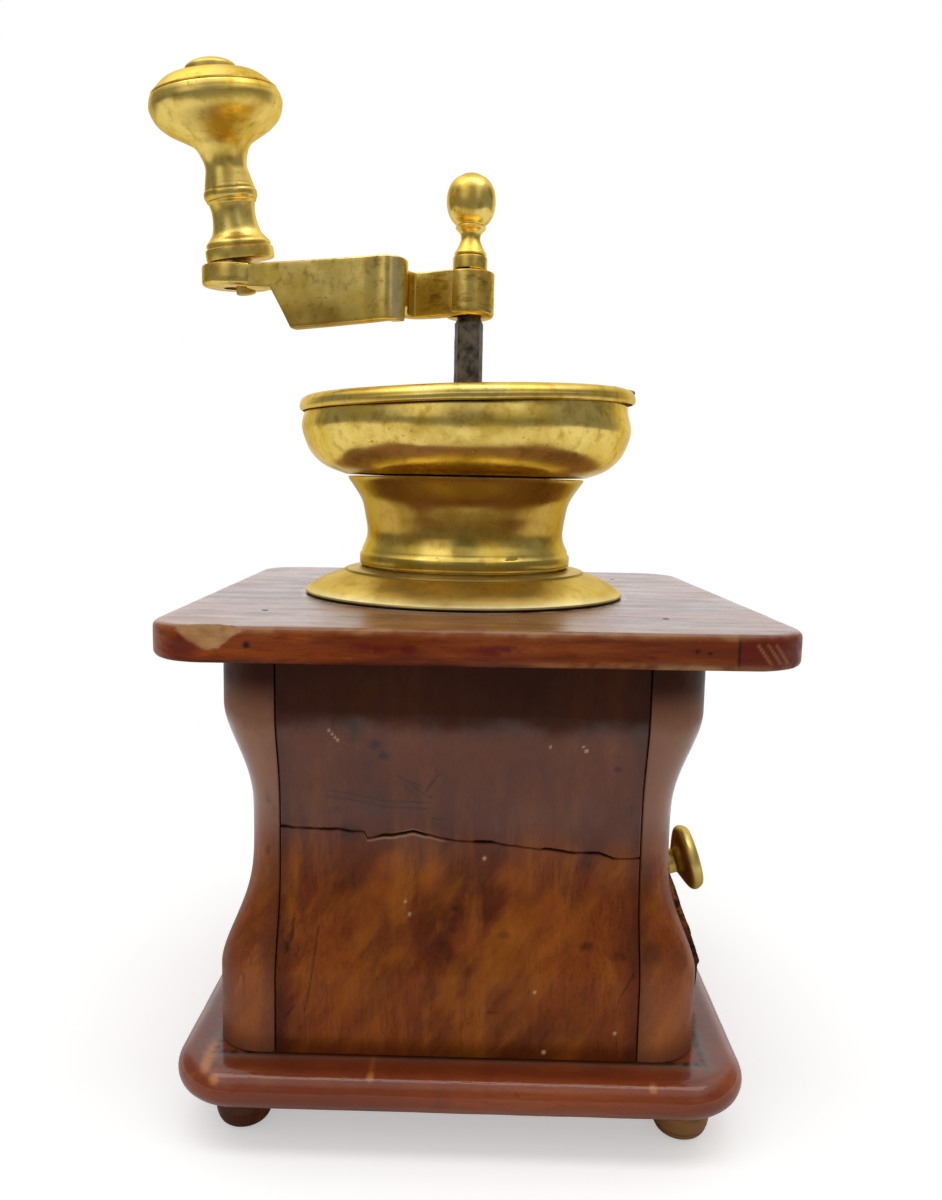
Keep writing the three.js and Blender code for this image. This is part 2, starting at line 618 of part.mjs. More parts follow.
const ringBore = loft([
  star(ringGrindRadius, burrBottom - 1, 0, BURR_TOOTH_DEPTH),
  star(ringMiddleRadius, burrBottom + BURR_HEIGHT * 0.5, twist / 2, BURR_TOOTH_DEPTH),
  star(ringTopRadius, burrTop + 1, twist, BURR_TOOTH_DEPTH),
]);
const ears = onDiagonal(join(
  block(-screwCircle, screwCircle, -BURR_EAR, BURR_EAR, flangeZ, boardBottom - FIT),
  rod(BURR_EAR, flangeZ, boardBottom - FIT, -screwCircle, 0, 16),
  rod(BURR_EAR, flangeZ, boardBottom - FIT, screwCircle, 0, 16)));
piece(grinder, 'burr_ring', cut(join(ringBlank, ears), ringBore, ...burrScrews(FIT)), castIron);
const sides = ['left', 'right'];
burrScrews(0).forEach((s, i) => piece(grinder, `burr_screw_${sides[i]}`, s, iron));

// Stirrup: an iron strap that carries the adjusting screw under the cone
const barTop = stirrupTop - STIRRUP_DROP;
const barBottom = barTop - STIRRUP_THICKNESS;
const footOut = burrEarEnd - 1;
const stirrupOutline = [
  [-footOut, stirrupTop], [-footOut, stirrupTop - STIRRUP_THICKNESS],
  [-legOut, stirrupTop - STIRRUP_THICKNESS], [-legOut, barBottom], [legOut, barBottom],
  [legOut, stirrupTop - STIRRUP_THICKNESS], [footOut, stirrupTop - STIRRUP_THICKNESS],
  [footOut, stirrupTop], [legIn, stirrupTop], [legIn, barTop], [-legIn, barTop], [-legIn, stirrupTop],
];
piece(grinder, 'stirrup',
  cut(onDiagonal(sideways(stirrupOutline, -STIRRUP_WIDTH / 2, STIRRUP_WIDTH / 2)),
    rod(ADJUSTER_RADIUS + FIT, barBottom - 1, barTop + 1), ...burrScrews(FIT)), castIron);

// Adjusting screw with two wings, and its lock nut
const adjusterTop = barTop + 3;
const adjusterBottom = adjusterTop - ADJUSTER_LENGTH;
const wing = 2.4;
piece(grinder, 'adjusting_screw', join(
  turned([[0, adjusterBottom], [ADJUSTER_RADIUS - 0.5, adjusterBottom], [ADJUSTER_RADIUS, adjusterBottom + 0.5],
    [ADJUSTER_RADIUS, adjusterTop - 0.5], [ADJUSTER_RADIUS - 0.5, adjusterTop], [0, adjusterTop]], 20),
  block(-WING_SPAN / 2, WING_SPAN / 2, -wing / 2, wing / 2, adjusterBottom + 0.6, adjusterBottom + 5.4)), iron);
const nutTop = barBottom - FIT;
const hexagon = Array.from({ length: 6 }, (_, i) => [
  Math.cos(i * Math.PI / 3) * NUT_RADIUS, Math.sin(i * Math.PI / 3) * NUT_RADIUS]);
piece(grinder, 'lock_nut',
  cut(upright(hexagon, nutTop - NUT_THICKNESS, nutTop),
    rod(ADJUSTER_RADIUS + FIT, nutTop - NUT_THICKNESS - 1, nutTop + 1)), iron);

// Hopper flange, neck and bowl
const flangeFoot = boardTop + FIT;
const flangeMiddle = FLANGE_RADIUS * 0.62 + FLANGE_STEP_RADIUS * 0.38;
const spigotRadius = NECK_WAIST_RADIUS + 0.3;
const flangeBore = spigotRadius + FIT;
const flangeProfile = [
  [FLANGE_RADIUS - 0.3, flangeFoot], [FLANGE_RADIUS, flangeFoot + 0.7],
  ...smooth([
    [FLANGE_RADIUS - 0.7, flangeFoot + 1.3], [flangeMiddle, flangeFoot + FLANGE_HEIGHT * 0.48],
    [FLANGE_STEP_RADIUS + 1, flangeFoot + FLANGE_HEIGHT * 0.8],
  ], 4),
  [FLANGE_STEP_RADIUS, flangeFoot + FLANGE_HEIGHT * 0.78],
  [FLANGE_STEP_RADIUS - 0.8, flangeFoot + FLANGE_HEIGHT * 0.85],
  [flangeBore, flangeTop],
  [flangeBore, flangeTop - SHEET],
  [FLANGE_STEP_RADIUS - 0.8, flangeFoot + FLANGE_HEIGHT * 0.85 - SHEET],
  [flangeMiddle - 0.5, flangeFoot + FLANGE_HEIGHT * 0.48 - SHEET],
  [FLANGE_RADIUS - 2.4, flangeFoot],
];
piece(grinder, 'hopper_flange', turned(flangeProfile, 44), dullBrass);

// Two rivets through the bowl's floor, and notches for their heads in the neck's lip
const bowlFloorEdge = NECK_LIP_RADIUS - 0.6;
const bridgeEnd = bowlFloorEdge - 0.1;
const bridgeBottom = bowlBottom + SHEET + FIT;
const bridgeTop = bridgeBottom + BRIDGE_THICKNESS;
const rivetAt = bridgeEnd - RIVET_RADIUS - 1.8;
const bowlFloorHole = rivetAt - 1.9;
const atRivets = (radius, z0, z1) => [-rivetAt, rivetAt].map((y) => rod(radius, z0, z1, 0, y, 12));
const rivetHoles = atRivets(RIVET_RADIUS + FIT, bowlBottom - 1, bowlBottom + 9);
const rivet = (y) => turned([
  [0, bowlBottom - FIT - 0.8], [RIVET_RADIUS + 0.9, bowlBottom - FIT - 0.8], [RIVET_RADIUS + 0.9, bowlBottom - FIT],
  [RIVET_RADIUS, bowlBottom - FIT], [RIVET_RADIUS, bridgeTop + FIT], [RIVET_RADIUS + 1.1, bridgeTop + FIT],
  [RIVET_RADIUS + 0.6, bridgeTop + FIT + 0.9], [0, bridgeTop + FIT + 1.2],
], 12).translate([0, y, 0]);

const neckWaist = neckBottom + NECK_WAIST_ABOVE_FLANGE;
const neckProfile = [
  [NECK_FOOT_RADIUS - 0.4, neckBottom], [NECK_FOOT_RADIUS, neckBottom + 0.8],
  [NECK_FOOT_RADIUS, neckBottom + NECK_FOOT_BAND - 0.4], [NECK_FOOT_RADIUS - 0.4, neckBottom + NECK_FOOT_BAND],
  ...smooth([
    [NECK_FOOT_RADIUS - 0.6, neckBottom + NECK_FOOT_BAND + 1], [NECK_WAIST_RADIUS + 0.3, neckWaist - 3],
    [NECK_WAIST_RADIUS, neckWaist],
    [NECK_WAIST_RADIUS + 1.3, (neckWaist + neckTop) / 2],
    [NECK_LIP_RADIUS - 0.3, neckTop - 0.9],
  ], 7),
  [NECK_LIP_RADIUS, neckTop],
  [NECK_LIP_RADIUS - 3, neckTop], [NECK_WAIST_RADIUS + 0.9 - SHEET, neckWaist + 5],
  [NECK_WAIST_RADIUS - SHEET, neckWaist],
  [spigotRadius - SHEET, flangeFoot], [spigotRadius, flangeFoot], [spigotRadius, neckBottom],
];
const neckNotches = atRivets(RIVET_RADIUS + 1.4, bowlBottom - 2, bowlBottom);
piece(grinder, 'hopper_neck', cut(turned(neckProfile, 36), ...neckNotches), brass);

const bellyZ = bowlBottom + BOWL_WIDEST - BOWL_BELLY;
const bowlProfile = [
  ...smooth([
    [NECK_LIP_RADIUS + 0.6, bowlBottom + 0.2], [NECK_LIP_RADIUS + 6, bowlBottom + 2.3],
    [BOWL_RADIUS - 2.6, bowlBottom + 5.7], [BOWL_RADIUS - 0.7, bellyZ],
    [BOWL_RADIUS, bowlBottom + BOWL_WIDEST], [BOWL_RADIUS - 0.9, bowlTop - 2.2],
  ], 9),
  [bowlRimRadius, bowlTop - 1.4], [bowlRimRadius, bowlTop - 0.4], [bowlRimRadius - 0.5, bowlTop],
  [bowlRimRadius - 1.6, bowlTop], [BOWL_RADIUS - SHEET, bowlBottom + BOWL_WIDEST],
  [BOWL_RADIUS - 0.9 - SHEET, bellyZ], [BOWL_RADIUS - 3.2 - SHEET, bowlBottom + 6.2],
  [NECK_LIP_RADIUS + 4.6, bowlBottom + 3.2], [bowlFloorEdge, bowlBottom + SHEET],
  [bowlFloorHole, bowlBottom + SHEET], [bowlFloorHole, bowlBottom],
];
piece(grinder, 'hopper_bowl', cut(turned(bowlProfile, 44), ...rivetHoles), brass);

// Bridge across the bowl's floor: the shaft's upper bearing
const bossLow = bridgeTop - BRIDGE_BOSS_HEIGHT;
const journalHole = rod(SHAFT_RADIUS + RUNNING, bossLow - 1, bridgeTop + 2, 0, 0, 24);
piece(grinder, 'bearing_bridge', cut(join(
  block(-BRIDGE_WIDTH / 2, BRIDGE_WIDTH / 2, -bridgeEnd, bridgeEnd, bridgeBottom, bridgeTop),
  rod(BRIDGE_BOSS_RADIUS, bossLow, bridgeTop + 1, 0, 0, 24)), journalHole, ...rivetHoles), castIron);
piece(grinder, 'bridge_rivet_front', rivet(-rivetAt), iron);
piece(grinder, 'bridge_rivet_rear', rivet(rivetAt), iron);

// Shaft with an octagonal upper length, a tang through the crank's boss and a stud for the finial
function roundRing(radius, z, facets) {
  const ring = [];
  for (let i = 0; i < 16; i++) {
    const flat = facets && i % 2 ? Math.cos(Math.PI / 8) : 1;
    const angle = i * Math.PI / 8;
    ring.push([Math.cos(angle) * radius * flat, Math.sin(angle) * radius * flat, z]);
  }
  return ring;
}
const shaftBottom = adjusterTop + FIT;
const shoulder = bossBottom - FIT;
const studBottom = bossTop + FIT;
const coneBottom = burrBottom + 0.6;
const coneTop = burrTop - 3;
const coneFoot = coneBottom - 3;
const pinZ = coneFoot + 1.5;
const pinRadius = 1.2;
const pinHole = rodAlongX(pinRadius + FIT, -CONE_BOTTOM_RADIUS, CONE_BOTTOM_RADIUS, 0, pinZ, 10);
piece(crank, 'drive_shaft', cut(loft([
  roundRing(SHAFT_RADIUS * 0.5, shaftBottom, false),
  roundRing(SHAFT_RADIUS, shaftBottom + 2, false),
  roundRing(SHAFT_RADIUS, bridgeTop + 2, false),
  roundRing(SHAFT_RADIUS, bridgeTop + 3, true),
  roundRing(SHAFT_RADIUS, shoulder - 1.2, true),
  roundRing(SHAFT_RADIUS - 0.7, shoulder, true),
  roundRing(TANG_RADIUS, shoulder + 0.01, true),
  roundRing(TANG_RADIUS, studBottom - 0.01, true),
  roundRing(STUD_RADIUS, studBottom, true),
  roundRing(STUD_RADIUS, studBottom + STUD_LENGTH, true),
]), pinHole), iron);

// Cone burr, pinned to the shaft
const coneMiddleRadius = CONE_BOTTOM_RADIUS * 0.55 + CONE_TOP_RADIUS * 0.45;
const cone = loft([
  star(CONE_BOTTOM_RADIUS - 3, coneFoot, 0, 0),
  star(CONE_BOTTOM_RADIUS - 2.4, coneBottom - 0.4, 0, 0.4),
  star(CONE_BOTTOM_RADIUS, coneBottom, 0, BURR_TOOTH_DEPTH),
  star(coneMiddleRadius, (coneBottom + coneTop) / 2, -twist / 2, BURR_TOOTH_DEPTH),
  star(CONE_TOP_RADIUS, coneTop, -twist, BURR_TOOTH_DEPTH * 0.7),
]);
const shaftHole = rod(SHAFT_RADIUS + FIT, coneFoot - 1, coneTop + 1, 0, 0, 16);
const pinEnd = CONE_BOTTOM_RADIUS - 3.4;
piece(crank, 'cone_burr', cut(cone, shaftHole, pinHole), castIron);
piece(crank, 'cone_pin', rodAlongX(pinRadius, -pinEnd, pinEnd, 0, pinZ, 10), iron);

// Crank arm: boss, S-bent strap on edge and eye. The strap's path is seen from above.
function strapOutline(path, width) {
  const curve = new THREE.CatmullRomCurve3(path.map(([x, y]) => new THREE.Vector3(x, y, 0)), false, 'centripetal');
  const steps = 24;
  const left = [];
  const right = [];
  for (let i = 0; i <= steps; i++) {
    const p = curve.getPoint(i / steps);
    const t = curve.getTangent(i / steps);
    left.push([p.x - t.y * width / 2, p.y + t.x * width / 2]);
    right.push([p.x + t.y * width / 2, p.y - t.x * width / 2]);
  }
  return [...left, ...right.reverse()];
}
const strapPath = [
  [0, -BOSS_RADIUS + STRAP * 0.55], [-5.5, -2.5], [-11, 0.4], [-15.2, 1.3], [-17.8, -1.5], [-18, -8],
  [-17.6, -15], [-20, -18.2], [-26, -16.3], [-38, -12.3], [EYE_X + EYE_RADIUS * 0.55, EYE_Y - EYE_RADIUS * 0.62],
];
const jogX = -15.5;
const armReach = EYE_RADIUS - EYE_X;
const armSide = [
  [BOSS_RADIUS + 1, bossBottom], [BOSS_RADIUS + 1, bossTop], [EYE_X, bossTop], [EYE_X, bossTop - EYE_HEIGHT],
  [EYE_X + EYE_RADIUS * 1.28, bossTop - EYE_HEIGHT - 0.8], [EYE_X + EYE_RADIUS * 1.9, bossBottom - PLATE_DROP - 0.8],
  [jogX - 0.1, bossBottom - PLATE_DROP + 0.8], [jogX, bossBottom],
];
const strapTall = upright(strapOutline(strapPath, STRAP), bossBottom - PLATE_DROP - 4, bossTop);
const belowJog = block(-21, 0, jogX, 20, bossBottom - 20, bossBottom);
const strap = cut(strapTall.intersect(sideways(armSide, -armReach, armReach)), belowJog);
const roundedBelow = (radius, bottom, x, y) => turned([
  [0, bottom], [radius - ARM_ROUNDING, bottom], [radius - ARM_ROUNDING * 0.3, bottom + ARM_ROUNDING * 0.3],
  [radius, bottom + ARM_ROUNDING], [radius, bossTop], [0, bossTop],
], 28).translate([x, y, 0]);
const eyeDisc = roundedBelow(EYE_RADIUS, bossTop - EYE_HEIGHT, EYE_X, EYE_Y);
const bossBody = roundedBelow(BOSS_RADIUS, bossBottom, 0, 0);
const knobX0 = EYE_X + KNOB_AXIS_INSET;
const tangHole = loft([
  roundRing(TANG_RADIUS + FIT, bossBottom - 1, true),
  roundRing(TANG_RADIUS + FIT, bossTop + 1, true),
]);
const leanOut = (solid) => solid.rotate([0, -KNOB_LEAN_OUT, 0]).rotate([KNOB_LEAN_FRONT, 0, 0])
  .translate([knobX0, EYE_Y, bossTop]);
const spindleHole = leanOut(rod(SPINDLE_RADIUS + FIT, -EYE_HEIGHT * 2, EYE_HEIGHT, 0, 0, 16));
piece(crank, 'crank_arm', cut(join(strap, eyeDisc, bossBody), tangHole, spindleHole), brass);

// Finial nut on the stud. The profile's heights are above its foot.
const finialBottom = bossTop + FIT * 2;
const finialProfile = [
  [0, 0], [4.5, 0], [4.6, 2.4], [4.4, 3.9],
  ...smooth([[3.7, 5.4], [3.2, 7.1], [2.8, 8.5], [3.1, 9.7]], 4),
  [4.3, 10.4], [4.4, 11.4], [4.2, 11.9],
  ...smooth([[5.2, 13.2], [6.05, 14.8], [FINIAL_BALL, 17.9], [6.1, 21], [4.3, 23.6], [2.3, FINIAL_HEIGHT - 0.2]], 8),
  [0, FINIAL_HEIGHT],
];
const studHole = rod(STUD_RADIUS + FIT, finialBottom - 1, studBottom + STUD_LENGTH + FIT, 0, 0, 16);
piece(crank, 'finial_nut',
  cut(turned(finialProfile, 24).translate([0, 0, finialBottom]), studHole), brass);

// Knob and its spindle, leaning outward and forward. z runs along the knob's axis from the eye's top.
const leanSide = THREE.MathUtils.degToRad(KNOB_LEAN_OUT);
const leanFront = THREE.MathUtils.degToRad(KNOB_LEAN_FRONT);
const lean = Math.acos(Math.cos(leanSide) * Math.cos(leanFront));
crankKnob.position.set(knobX0, EYE_Y, bossTop);
crankKnob.rotation.set(leanFront, -leanSide, 0);
const knobLift = (FIT + KNOB_FOOT_RADIUS * Math.sin(lean)) / Math.cos(lean);
const knobShape = [
  [KNOB_FOOT_RADIUS - 0.4, knobLift], [KNOB_FOOT_RADIUS, knobLift + 0.5], [KNOB_FOOT_RADIUS, 5], [8.4, 5.5],
  [8.5, 6.3],
  ...smooth([[7.5, 7.6], [6.3, 9.5], [5.75, 12.1], [5.65, 14.5], [6, 16.4]], 7),
  [6.5, 17.1], [6.95, 18.6], [6.7, 19.8],
  ...smooth([
    [6.3, 21.2], [5.8, 23.3], [5.4, 25.4], [5.8, 27.7], [7.2, 30.6], [9.7, 32.3], [13.4, 34.4], [15.9, 36.8],
    [KNOB_RADIUS, 39.6], [16.8, 41.6], [16.2, 43],
  ], 14),
  ...smooth([[15.6, 43.7], [13.6, 45.7], [11, 47], [7.2, KNOB_TOP]], 5),
];
const knobBore = rod(SPINDLE_RADIUS + RUNNING, -1, KNOB_TOP + 5, 0, 0, 16);
piece(crankKnob, 'crank_knob',
  cut(turned([[0, knobLift], ...knobShape, [0, KNOB_TOP]], 30), knobBore), brass);
const rivetOut = -EYE_HEIGHT / Math.cos(lean) - 0.9;
const capBottom = KNOB_TOP + FIT;
piece(crankKnob, 'knob_spindle', turned([
  [0, rivetOut - 0.8], [SPINDLE_RADIUS * 0.8, rivetOut - 0.6], [SPINDLE_RADIUS, rivetOut],
  [SPINDLE_RADIUS, capBottom], [SPINDLE_CAP_RADIUS, capBottom],
  [SPINDLE_CAP_RADIUS * 0.98, capBottom + SPINDLE_CAP_HEIGHT * 0.48],
  [SPINDLE_CAP_RADIUS * 0.68, capBottom + SPINDLE_CAP_HEIGHT * 0.86], [0, capBottom + SPINDLE_CAP_HEIGHT],
], 20), iron);

// Lid. The group is tilted, with its origin at the middle of the lid's underside.
const tiltRight = THREE.MathUtils.degToRad(LID_TILT_RIGHT);
const tiltBack = THREE.MathUtils.degToRad(LID_TILT_BACK);
const lidLift = bowlRimRadius * Math.hypot(Math.tan(tiltRight), Math.tan(tiltBack)) + FIT;
lid.position.z = bowlTop + lidLift;
lid.rotation.set(tiltBack, -tiltRight, 0);
const lidRadius = BOWL_RADIUS + LID_OVERHANG;
const skirtBottom = LID_SHEET - LID_SKIRT;
const lidBlank = turned([
  [0, 0], [lidRadius - 1.9, 0], [lidRadius - LID_SHEET, -1.4], [lidRadius - LID_SHEET, skirtBottom],
  [lidRadius - 0.2, skirtBottom + 0.3], [lidRadius, skirtBottom + 1.2], [lidRadius - 0.3, -1],
  [lidRadius - 1.1, LID_SHEET * 0.1], [lidRadius - 2.6, LID_SHEET * 0.85], [0, LID_SHEET],
], 44);
const lidHole = SHAFT_RADIUS + RUNNING * 1.6;

const windowRadius = lidRadius - WINDOW_RIM;

// A half ring behind the line y = front
function halfMoon(inner, outer, front) {
  const steps = 22;
  const arc = (radius, from, to) => Array.from({ length: steps + 1 }, (_, i) => {
    const angle = from + (to - from) * i / steps;
    return [Math.cos(angle) * radius, Math.sin(angle) * radius];
  });
  const low = Math.asin(front / outer);
  const lowInner = Math.asin(Math.min(front / inner, 1));
  return [...arc(outer, low, Math.PI - low), ...arc(inner, Math.PI - lowInner, lowInner)];
}
const windowCut = upright(halfMoon(WINDOW_INNER_RADIUS, windowRadius, WINDOW_BAND), -1, LID_SHEET + 1);
const lidBore = rod(lidHole, -2, LID_SHEET * 4, 0, 0, 24);
piece(lid, 'lid_cover', cut(lidBlank, windowCut, lidBore), brass);

const shutterRadius = windowRadius + SHUTTER_OVERLAP;
const shutterBottom = LID_SHEET + FIT;
const shutterTop = shutterBottom + LID_SHEET;
const shutter = join(
  upright(halfMoon(SHUTTER_HUB_RADIUS - 1, shutterRadius, 0), shutterBottom, shutterTop),
  rod(SHUTTER_HUB_RADIUS, shutterBottom, shutterTop, 0, 0, 28));
piece(lid, 'lid_shutter', cut(shutter, lidBore), brass);

// The shutter's handle, a short iron rod that droops over the cover's edge
const handle = rodAlongX(HANDLE_RADIUS, 0, HANDLE_LENGTH, 0, 0, 12)
  .rotate([0, HANDLE_DROOP, 0])
  .translate([shutterRadius + FIT, 0, shutterTop]).rotate([0, 0, HANDLE_TURN]);
piece(lid, 'lid_handle', handle, iron);

export default grinder;
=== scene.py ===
import json
import math

import bmesh
import bpy
import numpy as np
from mathutils import Matrix, Vector


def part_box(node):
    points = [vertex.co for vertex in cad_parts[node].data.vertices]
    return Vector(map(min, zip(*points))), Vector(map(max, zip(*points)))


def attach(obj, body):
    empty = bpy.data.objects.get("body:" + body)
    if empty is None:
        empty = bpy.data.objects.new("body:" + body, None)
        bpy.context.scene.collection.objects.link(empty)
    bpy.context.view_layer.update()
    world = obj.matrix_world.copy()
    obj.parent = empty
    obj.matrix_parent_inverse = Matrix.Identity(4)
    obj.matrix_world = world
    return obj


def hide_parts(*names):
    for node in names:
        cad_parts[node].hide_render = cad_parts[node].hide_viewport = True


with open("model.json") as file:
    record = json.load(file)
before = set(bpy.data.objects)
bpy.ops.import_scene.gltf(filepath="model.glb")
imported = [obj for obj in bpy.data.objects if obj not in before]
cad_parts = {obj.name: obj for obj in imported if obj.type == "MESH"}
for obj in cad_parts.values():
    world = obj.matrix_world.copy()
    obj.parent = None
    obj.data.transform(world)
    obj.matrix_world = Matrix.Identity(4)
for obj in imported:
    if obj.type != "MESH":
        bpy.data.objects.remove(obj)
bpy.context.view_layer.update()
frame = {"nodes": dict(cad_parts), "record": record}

MM = 0.001
BODY_OF = {node: body for body, nodes in frame["record"]["behaviour"]["bodies"].items() for node in nodes}
SLOT_OF = {part["node"]: part["material_slot"] for part in frame["record"]["subparts"]}


def box(node):
    """The lowest and highest corner of a CAD node, in millimetres."""
    low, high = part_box(node)
    return np.array(low) / MM, np.array(high) / MM


def foot_of(node):
    """The lowest height of a CAD node."""
    return box(node)[0][2]


def top_of(node):
    """The highest height of a CAD node."""
    return box(node)[1][2]


# Driving sizes that the frame's boxes don't give
FIT = 0.3
RUNNING = 0.45
BOX_X = 1.3
WAIST_HALF = 50.8
WAIST_WALL = 8.4
INNER_HALF = WAIST_HALF - WAIST_WALL
TOP_FLARE = 5.6
BOTTOM_FLARE = 6.5
WAIST_Z = 60.1
UPPER_STRAIGHT = 13
LOWER_STRAIGHT = 18
UPPER_SWEEP = 1.4
LOWER_SWEEP = 1.75
POST_CORNER = 11
BASE_CORNER = 16
TOP_HALF = 71
TOP_CORNER = 12.8
TOP_ARRIS = 1.5
TOP_X = 2.9
TOP_TURN = math.radians(1.87)
THROAT = 26.4
BRASS_SHEET = 1.3
FLANGE_RADIUS = 43.8
FLANGE_STEP = 33.0
NECK_WAIST = 27.1
NECK_LIP = 32.4
BOWL_RADIUS = 44.8
BOWL_RIM = 43.8
SHAFT_RADIUS = 3.95
EYE = (-63.2, -0.6)
EYE_RADIUS = 9.1
EYE_HEIGHT = 5.9
EYE_TWIST = 0.075
BOSS_RADIUS = 6.65
BOSS_HEIGHT = 11.9
STRAP = 3.6
PLATE_DROP = 4.4
KNOB_X = EYE[0] + 1.6
KNOB_TOP = 47.2
SPINDLE_RADIUS = 2.6
SPINDLE_CAP_RADIUS = 6.5
KNOB_LEAN_OUT = math.radians(7.1)
KNOB_LEAN_FRONT = math.radians(8.5)
KNOB_LEAN = math.acos(math.cos(KNOB_LEAN_OUT) * math.cos(KNOB_LEAN_FRONT))
LID_TILT_RIGHT = math.radians(2.1)
LID_TILT_BACK = math.radians(1.8)
LID_SHEET = 0.8
LID_RADIUS = BOWL_RADIUS + 0.75
LID_HOLE = SHAFT_RADIUS + RUNNING * 1.6
WINDOW_RADIUS = LID_RADIUS - 8.55

# Heights
BASE_TOP = top_of("base_board")
CARCASS_LOW = foot_of("front_panel")
CARCASS_TOP = top_of("front_panel")
BOARD_LOW = foot_of("top_board")
BOARD_TOP = top_of("top_board")
FLANGE_FOOT = foot_of("hopper_flange")
NECK_FOOT = top_of("hopper_flange") + FIT
NECK_TOP = top_of("hopper_neck")
BOWL_LOW = foot_of("hopper_bowl")
BOWL_TOP = top_of("hopper_bowl")
ARM_TOP = top_of("crank_arm")
BOSS_LOW = ARM_TOP - BOSS_HEIGHT
FLOOR_Z = foot_of("foot_front_left")
LID_Z = BOWL_TOP + BOWL_RIM * math.hypot(math.tan(LID_TILT_RIGHT), math.tan(LID_TILT_BACK)) + FIT

LID_PLACE = (Matrix.Translation((0, 0, LID_Z)) @ Matrix.Rotation(LID_TILT_BACK, 4, "X")
             @ Matrix.Rotation(-LID_TILT_RIGHT, 4, "Y"))
KNOB_PLACE = (Matrix.Translation((KNOB_X, EYE[1], ARM_TOP)) @ Matrix.Rotation(KNOB_LEAN_FRONT, 4, "X")
              @ Matrix.Rotation(-KNOB_LEAN_OUT, 4, "Y"))


# Numbers on arrays of points

def hashed(cell, seed):
    """A repeatable value from 0 to 1 for each whole-numbered cell."""
    mixed = cell[..., 0] * 374761393 + cell[..., 1] * 668265263 + cell[..., 2] * 1103515245 + seed * 12345677
    mixed = (mixed ^ (mixed >> 13)) * 1274126177
    return ((mixed ^ (mixed >> 16)) & 0xFFFF) / 65535.0


def lumps(points, size, seed=0, octaves=3):
    """Smooth noise from -1 to 1. size is the width of the largest lumps."""
    points = np.asarray(points, float)
    total = np.zeros(points.shape[:-1])
    weight = 0.0
    for octave in range(octaves):
        scaled = points * (2 ** octave / size) + 17.3 * octave
        cell = np.floor(scaled).astype(np.int64)
        part = eased(scaled - cell)
        value = np.zeros(points.shape[:-1])
        for corner in np.ndindex(2, 2, 2):
            share = np.prod(np.where(np.array(corner) == 1, part, 1 - part), axis=-1)
            value += share * hashed(cell + np.array(corner), seed + octave)
        total += (value * 2 - 1) * 0.5 ** octave
        weight += 0.5 ** octave
    return total / weight


def eased(t):
    return t * t * (3 - 2 * t)


def smooth_step(value, low, high):
    return eased(np.clip((value - low) / (high - low), 0, 1))


def near(value, centre, width):
    """1 at the centre, falling to 0 over about the width."""
    return np.exp(-((value - centre) / width) ** 2)


def near_line(points, route, width):
    """1 on a route of 2-D points, falling to 0 over about the width."""
    nearest = np.full(points.shape[:-1], np.inf)
    for a, b in zip(np.array(route[:-1], float), np.array(route[1:], float)):
        along = np.clip(((points - a) @ (b - a)) / ((b - a) @ (b - a)), 0, 1)
        nearest = np.minimum(nearest, np.linalg.norm(points - a - along[..., None] * (b - a), axis=-1))
    return near(nearest, 0, width)


def near_spot(points, centre, radii, turn=0.0):
    """1 in the middle of an oval spot of 2-D points, falling to 0 past its radii."""
    offset = points - np.array(centre, float)
    cos, sin = math.cos(turn), math.sin(turn)
    across = offset[..., 0] * cos + offset[..., 1] * sin
    along = offset[..., 1] * cos - offset[..., 0] * sin
    return np.exp(-((across / radii[0]) ** 2 + (along / radii[1]) ** 2) ** 2)


def most(*layers):
    """The highest of the layers at each point."""
    return np.maximum.reduce(layers)


def spline(controls, count):
    """Points on a smooth curve through the controls."""
    points = np.array(controls, float)
    last = len(points) - 1
    curve = []
    for t in np.linspace(0, last, count + 1):
        i = min(int(t), last - 1)
        w = t - i
        before, a, b, after = points[max(i - 1, 0)], points[i], points[i + 1], points[min(i + 2, last)]
        leave, arrive = (b - before) / 2, (after - a) / 2
        curve.append((2 * a - 2 * b + leave + arrive) * w ** 3
                     + (3 * b - 3 * a - 2 * leave - arrive) * w ** 2 + leave * w + a)
    return [tuple(p) for p in curve]


def resample(route, count):
    """Evenly spaced points along a route of 2-D points."""
    route = np.array(route, float)
    lengths = np.concatenate([[0], np.cumsum(np.linalg.norm(np.diff(route, axis=0), axis=1))])
    at = np.linspace(0, lengths[-1], count)
    return list(zip(np.interp(at, lengths, route[:, 0]), np.interp(at, lengths, route[:, 1])))


def between(a, b, start, end, at):
    """The value at a place between a at start and b at end."""
    return (a * (end - at) + b * (at - start)) / (end - start)


def centripetal(route, count):
    """A smooth curve through a route, as evenly spaced points with their directions."""
    route = np.array(route, float)
    ends = np.vstack([2 * route[0] - route[1], route, 2 * route[-1] - route[-2]])
    curve = []
    for p0, p1, p2, p3 in zip(ends[:-3], ends[1:-2], ends[2:-1], ends[3:]):
        gaps = [max(np.linalg.norm(b - a), 1e-6) ** 0.5 for a, b in ((p0, p1), (p1, p2), (p2, p3))]
        t0, t1, t2, t3 = np.concatenate([[0], np.cumsum(gaps)])
        for at in np.linspace(t1, t2, 30, endpoint=False):
            middle = between(p1, p2, t1, t2, at)
            left = between(between(p0, p1, t0, t1, at), middle, t0, t2, at)
            right = between(middle, between(p2, p3, t2, t3, at), t1, t3, at)
            curve.append(between(left, right, t1, t2, at))
    curve.append(route[-1])
    points = np.array(resample(curve, count))
    directions = np.gradient(points, axis=0)
    return points, directions / np.linalg.norm(directions, axis=1, keepdims=True)


# Outlines and shells

